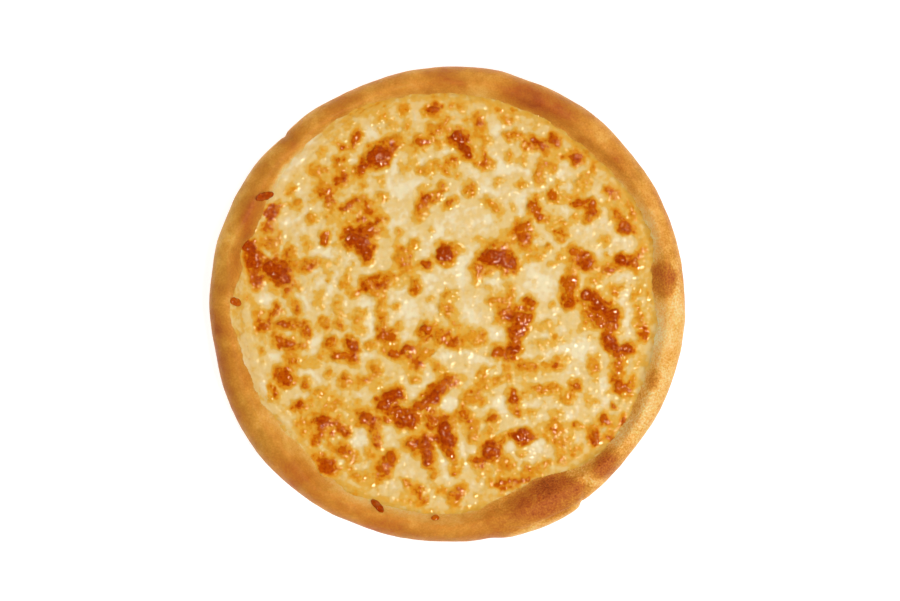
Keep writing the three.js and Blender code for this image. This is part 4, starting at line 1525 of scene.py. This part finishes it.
@dataclass(frozen=True)
class Lamp:
    """A round light that faces the loaf: where it hangs, in degrees from +X and above the
    horizon, its width and distance in metres, its power in watts, and if gloss shows it."""

    name: str
    azimuth: float
    elevation: float
    width: float
    power: float
    mirrored: bool = True
    distance: float = 1.4

    def hang(self) -> None:
        """Put the light into the scene."""
        light = bpy.data.lights.new(self.name, "AREA")
        light.shape = "DISK"
        light.size = self.width
        light.energy = self.power
        lamp = bpy.data.objects.new(self.name, light)
        turn = Euler((math.radians(90 - self.elevation), 0, math.radians(self.azimuth + 90)))
        lamp.rotation_euler = turn
        lamp.location = turn.to_matrix() @ Vector((0, 0, self.distance))
        lamp.visible_glossy = self.mirrored
        bpy.context.scene.collection.objects.link(lamp)


@dataclass
class Studio:
    """A pale floor, soft light and a camera that looks straight down."""

    form: LoafForm
    photo: PhotoFrame
    camera_height: float = 1.6
    sensor: float = 36.0
    sky_span: Span = (0.7, 0.92)
    sky_levels: Span = (0.55, 0.1)
    floor_size: float = 3.0
    floor_colour: Colour = (200, 200, 200)
    lamps: tuple[Lamp, ...] = rows_of(
        Lamp,
        ("key", -42, 61, 0.24, 8.0),
        ("fill_right", 40, 60, 0.2, 2.8),
        ("fill_left", 150, 60, 0.5, 3.3, False),
    )

    def floor(self) -> None:
        """Lay the floor."""
        shape = bmesh.new()
        bmesh.ops.create_grid(shape, x_segments=1, y_segments=1, size=self.floor_size)
        shader = Shader("pale_floor", {
            "Base Color": linear(self.floor_colour),
            "Roughness": 0.9,
            "Specular IOR Level": 0.1,
            "Emission Color": (1, 1, 1, 1),
            "Emission Strength": 0.7,
        })
        mesh = MeshWork.finished(shape, "floor")
        MeshWork.make_object("floor", mesh, shader.material)

    def camera(self) -> None:
        """Hang the camera so that the loaf fills the photograph's frame as it does there."""
        lens = bpy.data.cameras.new("camera")
        lens.sensor_width = self.sensor
        view_width = self.photo.columns * self.photo.pixel * MM
        lens.lens = self.sensor * self.camera_height / view_width
        lens.clip_end = 10
        camera = bpy.data.objects.new("camera", lens)
        aim_x, aim_y = self.photo.place(self.photo.columns / 2, self.photo.rows / 2)
        middle_x, middle_y = self.form.middle()
        camera.location = (
            (aim_x - middle_x) * MM,
            (aim_y - middle_y) * MM,
            self.camera_height + self.form.widest_height * MM,
        )
        bpy.context.scene.collection.objects.link(camera)
        bpy.context.scene.camera = camera

    def sky(self) -> None:
        """Make a sky that is bright all round and dim overhead, where the camera hangs."""
        world = bpy.data.worlds.new("sky")
        world.use_nodes = True
        tree = world.node_tree
        direction = tree.nodes.new("ShaderNodeTexCoord").outputs["Object"]
        parts = tree.nodes.new("ShaderNodeSeparateXYZ")
        tree.links.new(direction, parts.inputs["Vector"])
        level = tree.nodes.new("ShaderNodeMapRange")
        level.interpolation_type = "SMOOTHSTEP"
        tree.links.new(parts.outputs["Z"], level.inputs["Value"])
        ends = ("From Min", "From Max", "To Min", "To Max")
        for socket, value in zip(ends, self.sky_span + self.sky_levels):
            level.inputs[socket].default_value = value
        background = tree.nodes["Background"]
        background.inputs["Color"].default_value = (1, 1, 1, 1)
        tree.links.new(level.outputs["Result"], background.inputs["Strength"])
        world.cycles_visibility.glossy = False
        bpy.context.scene.world = world

    def build(self) -> None:
        """Set up the floor, lights, sky and camera."""
        self.floor()
        for lamp in self.lamps:
            lamp.hang()
        self.sky()
        bpy.context.scene.view_settings.view_transform = "Standard"
        self.camera()


def main() -> None:
    """Build the pide and its studio, and report each piece."""
    logging.basicConfig(level=logging.INFO, format="%(name)s %(message)s")
    form = LoafForm()
    photo = PhotoFrame()
    noise = Noise(3)
    bread = Bread(form, noise)
    pieces = (
        bread.build(CrustFinish()),
        Cheese(form, bread, photo, noise).build(CheeseFinish()),
        StrayShreds(form, noise).build(CheeseFinish(name="browned_shreds")),
    )
    for piece in pieces:
        log.info("%s: %d faces", piece.name, len(piece.data.polygons))
    Studio(form, photo).build()
    log.info("studio ready")


if __name__ == "__main__":
    main()
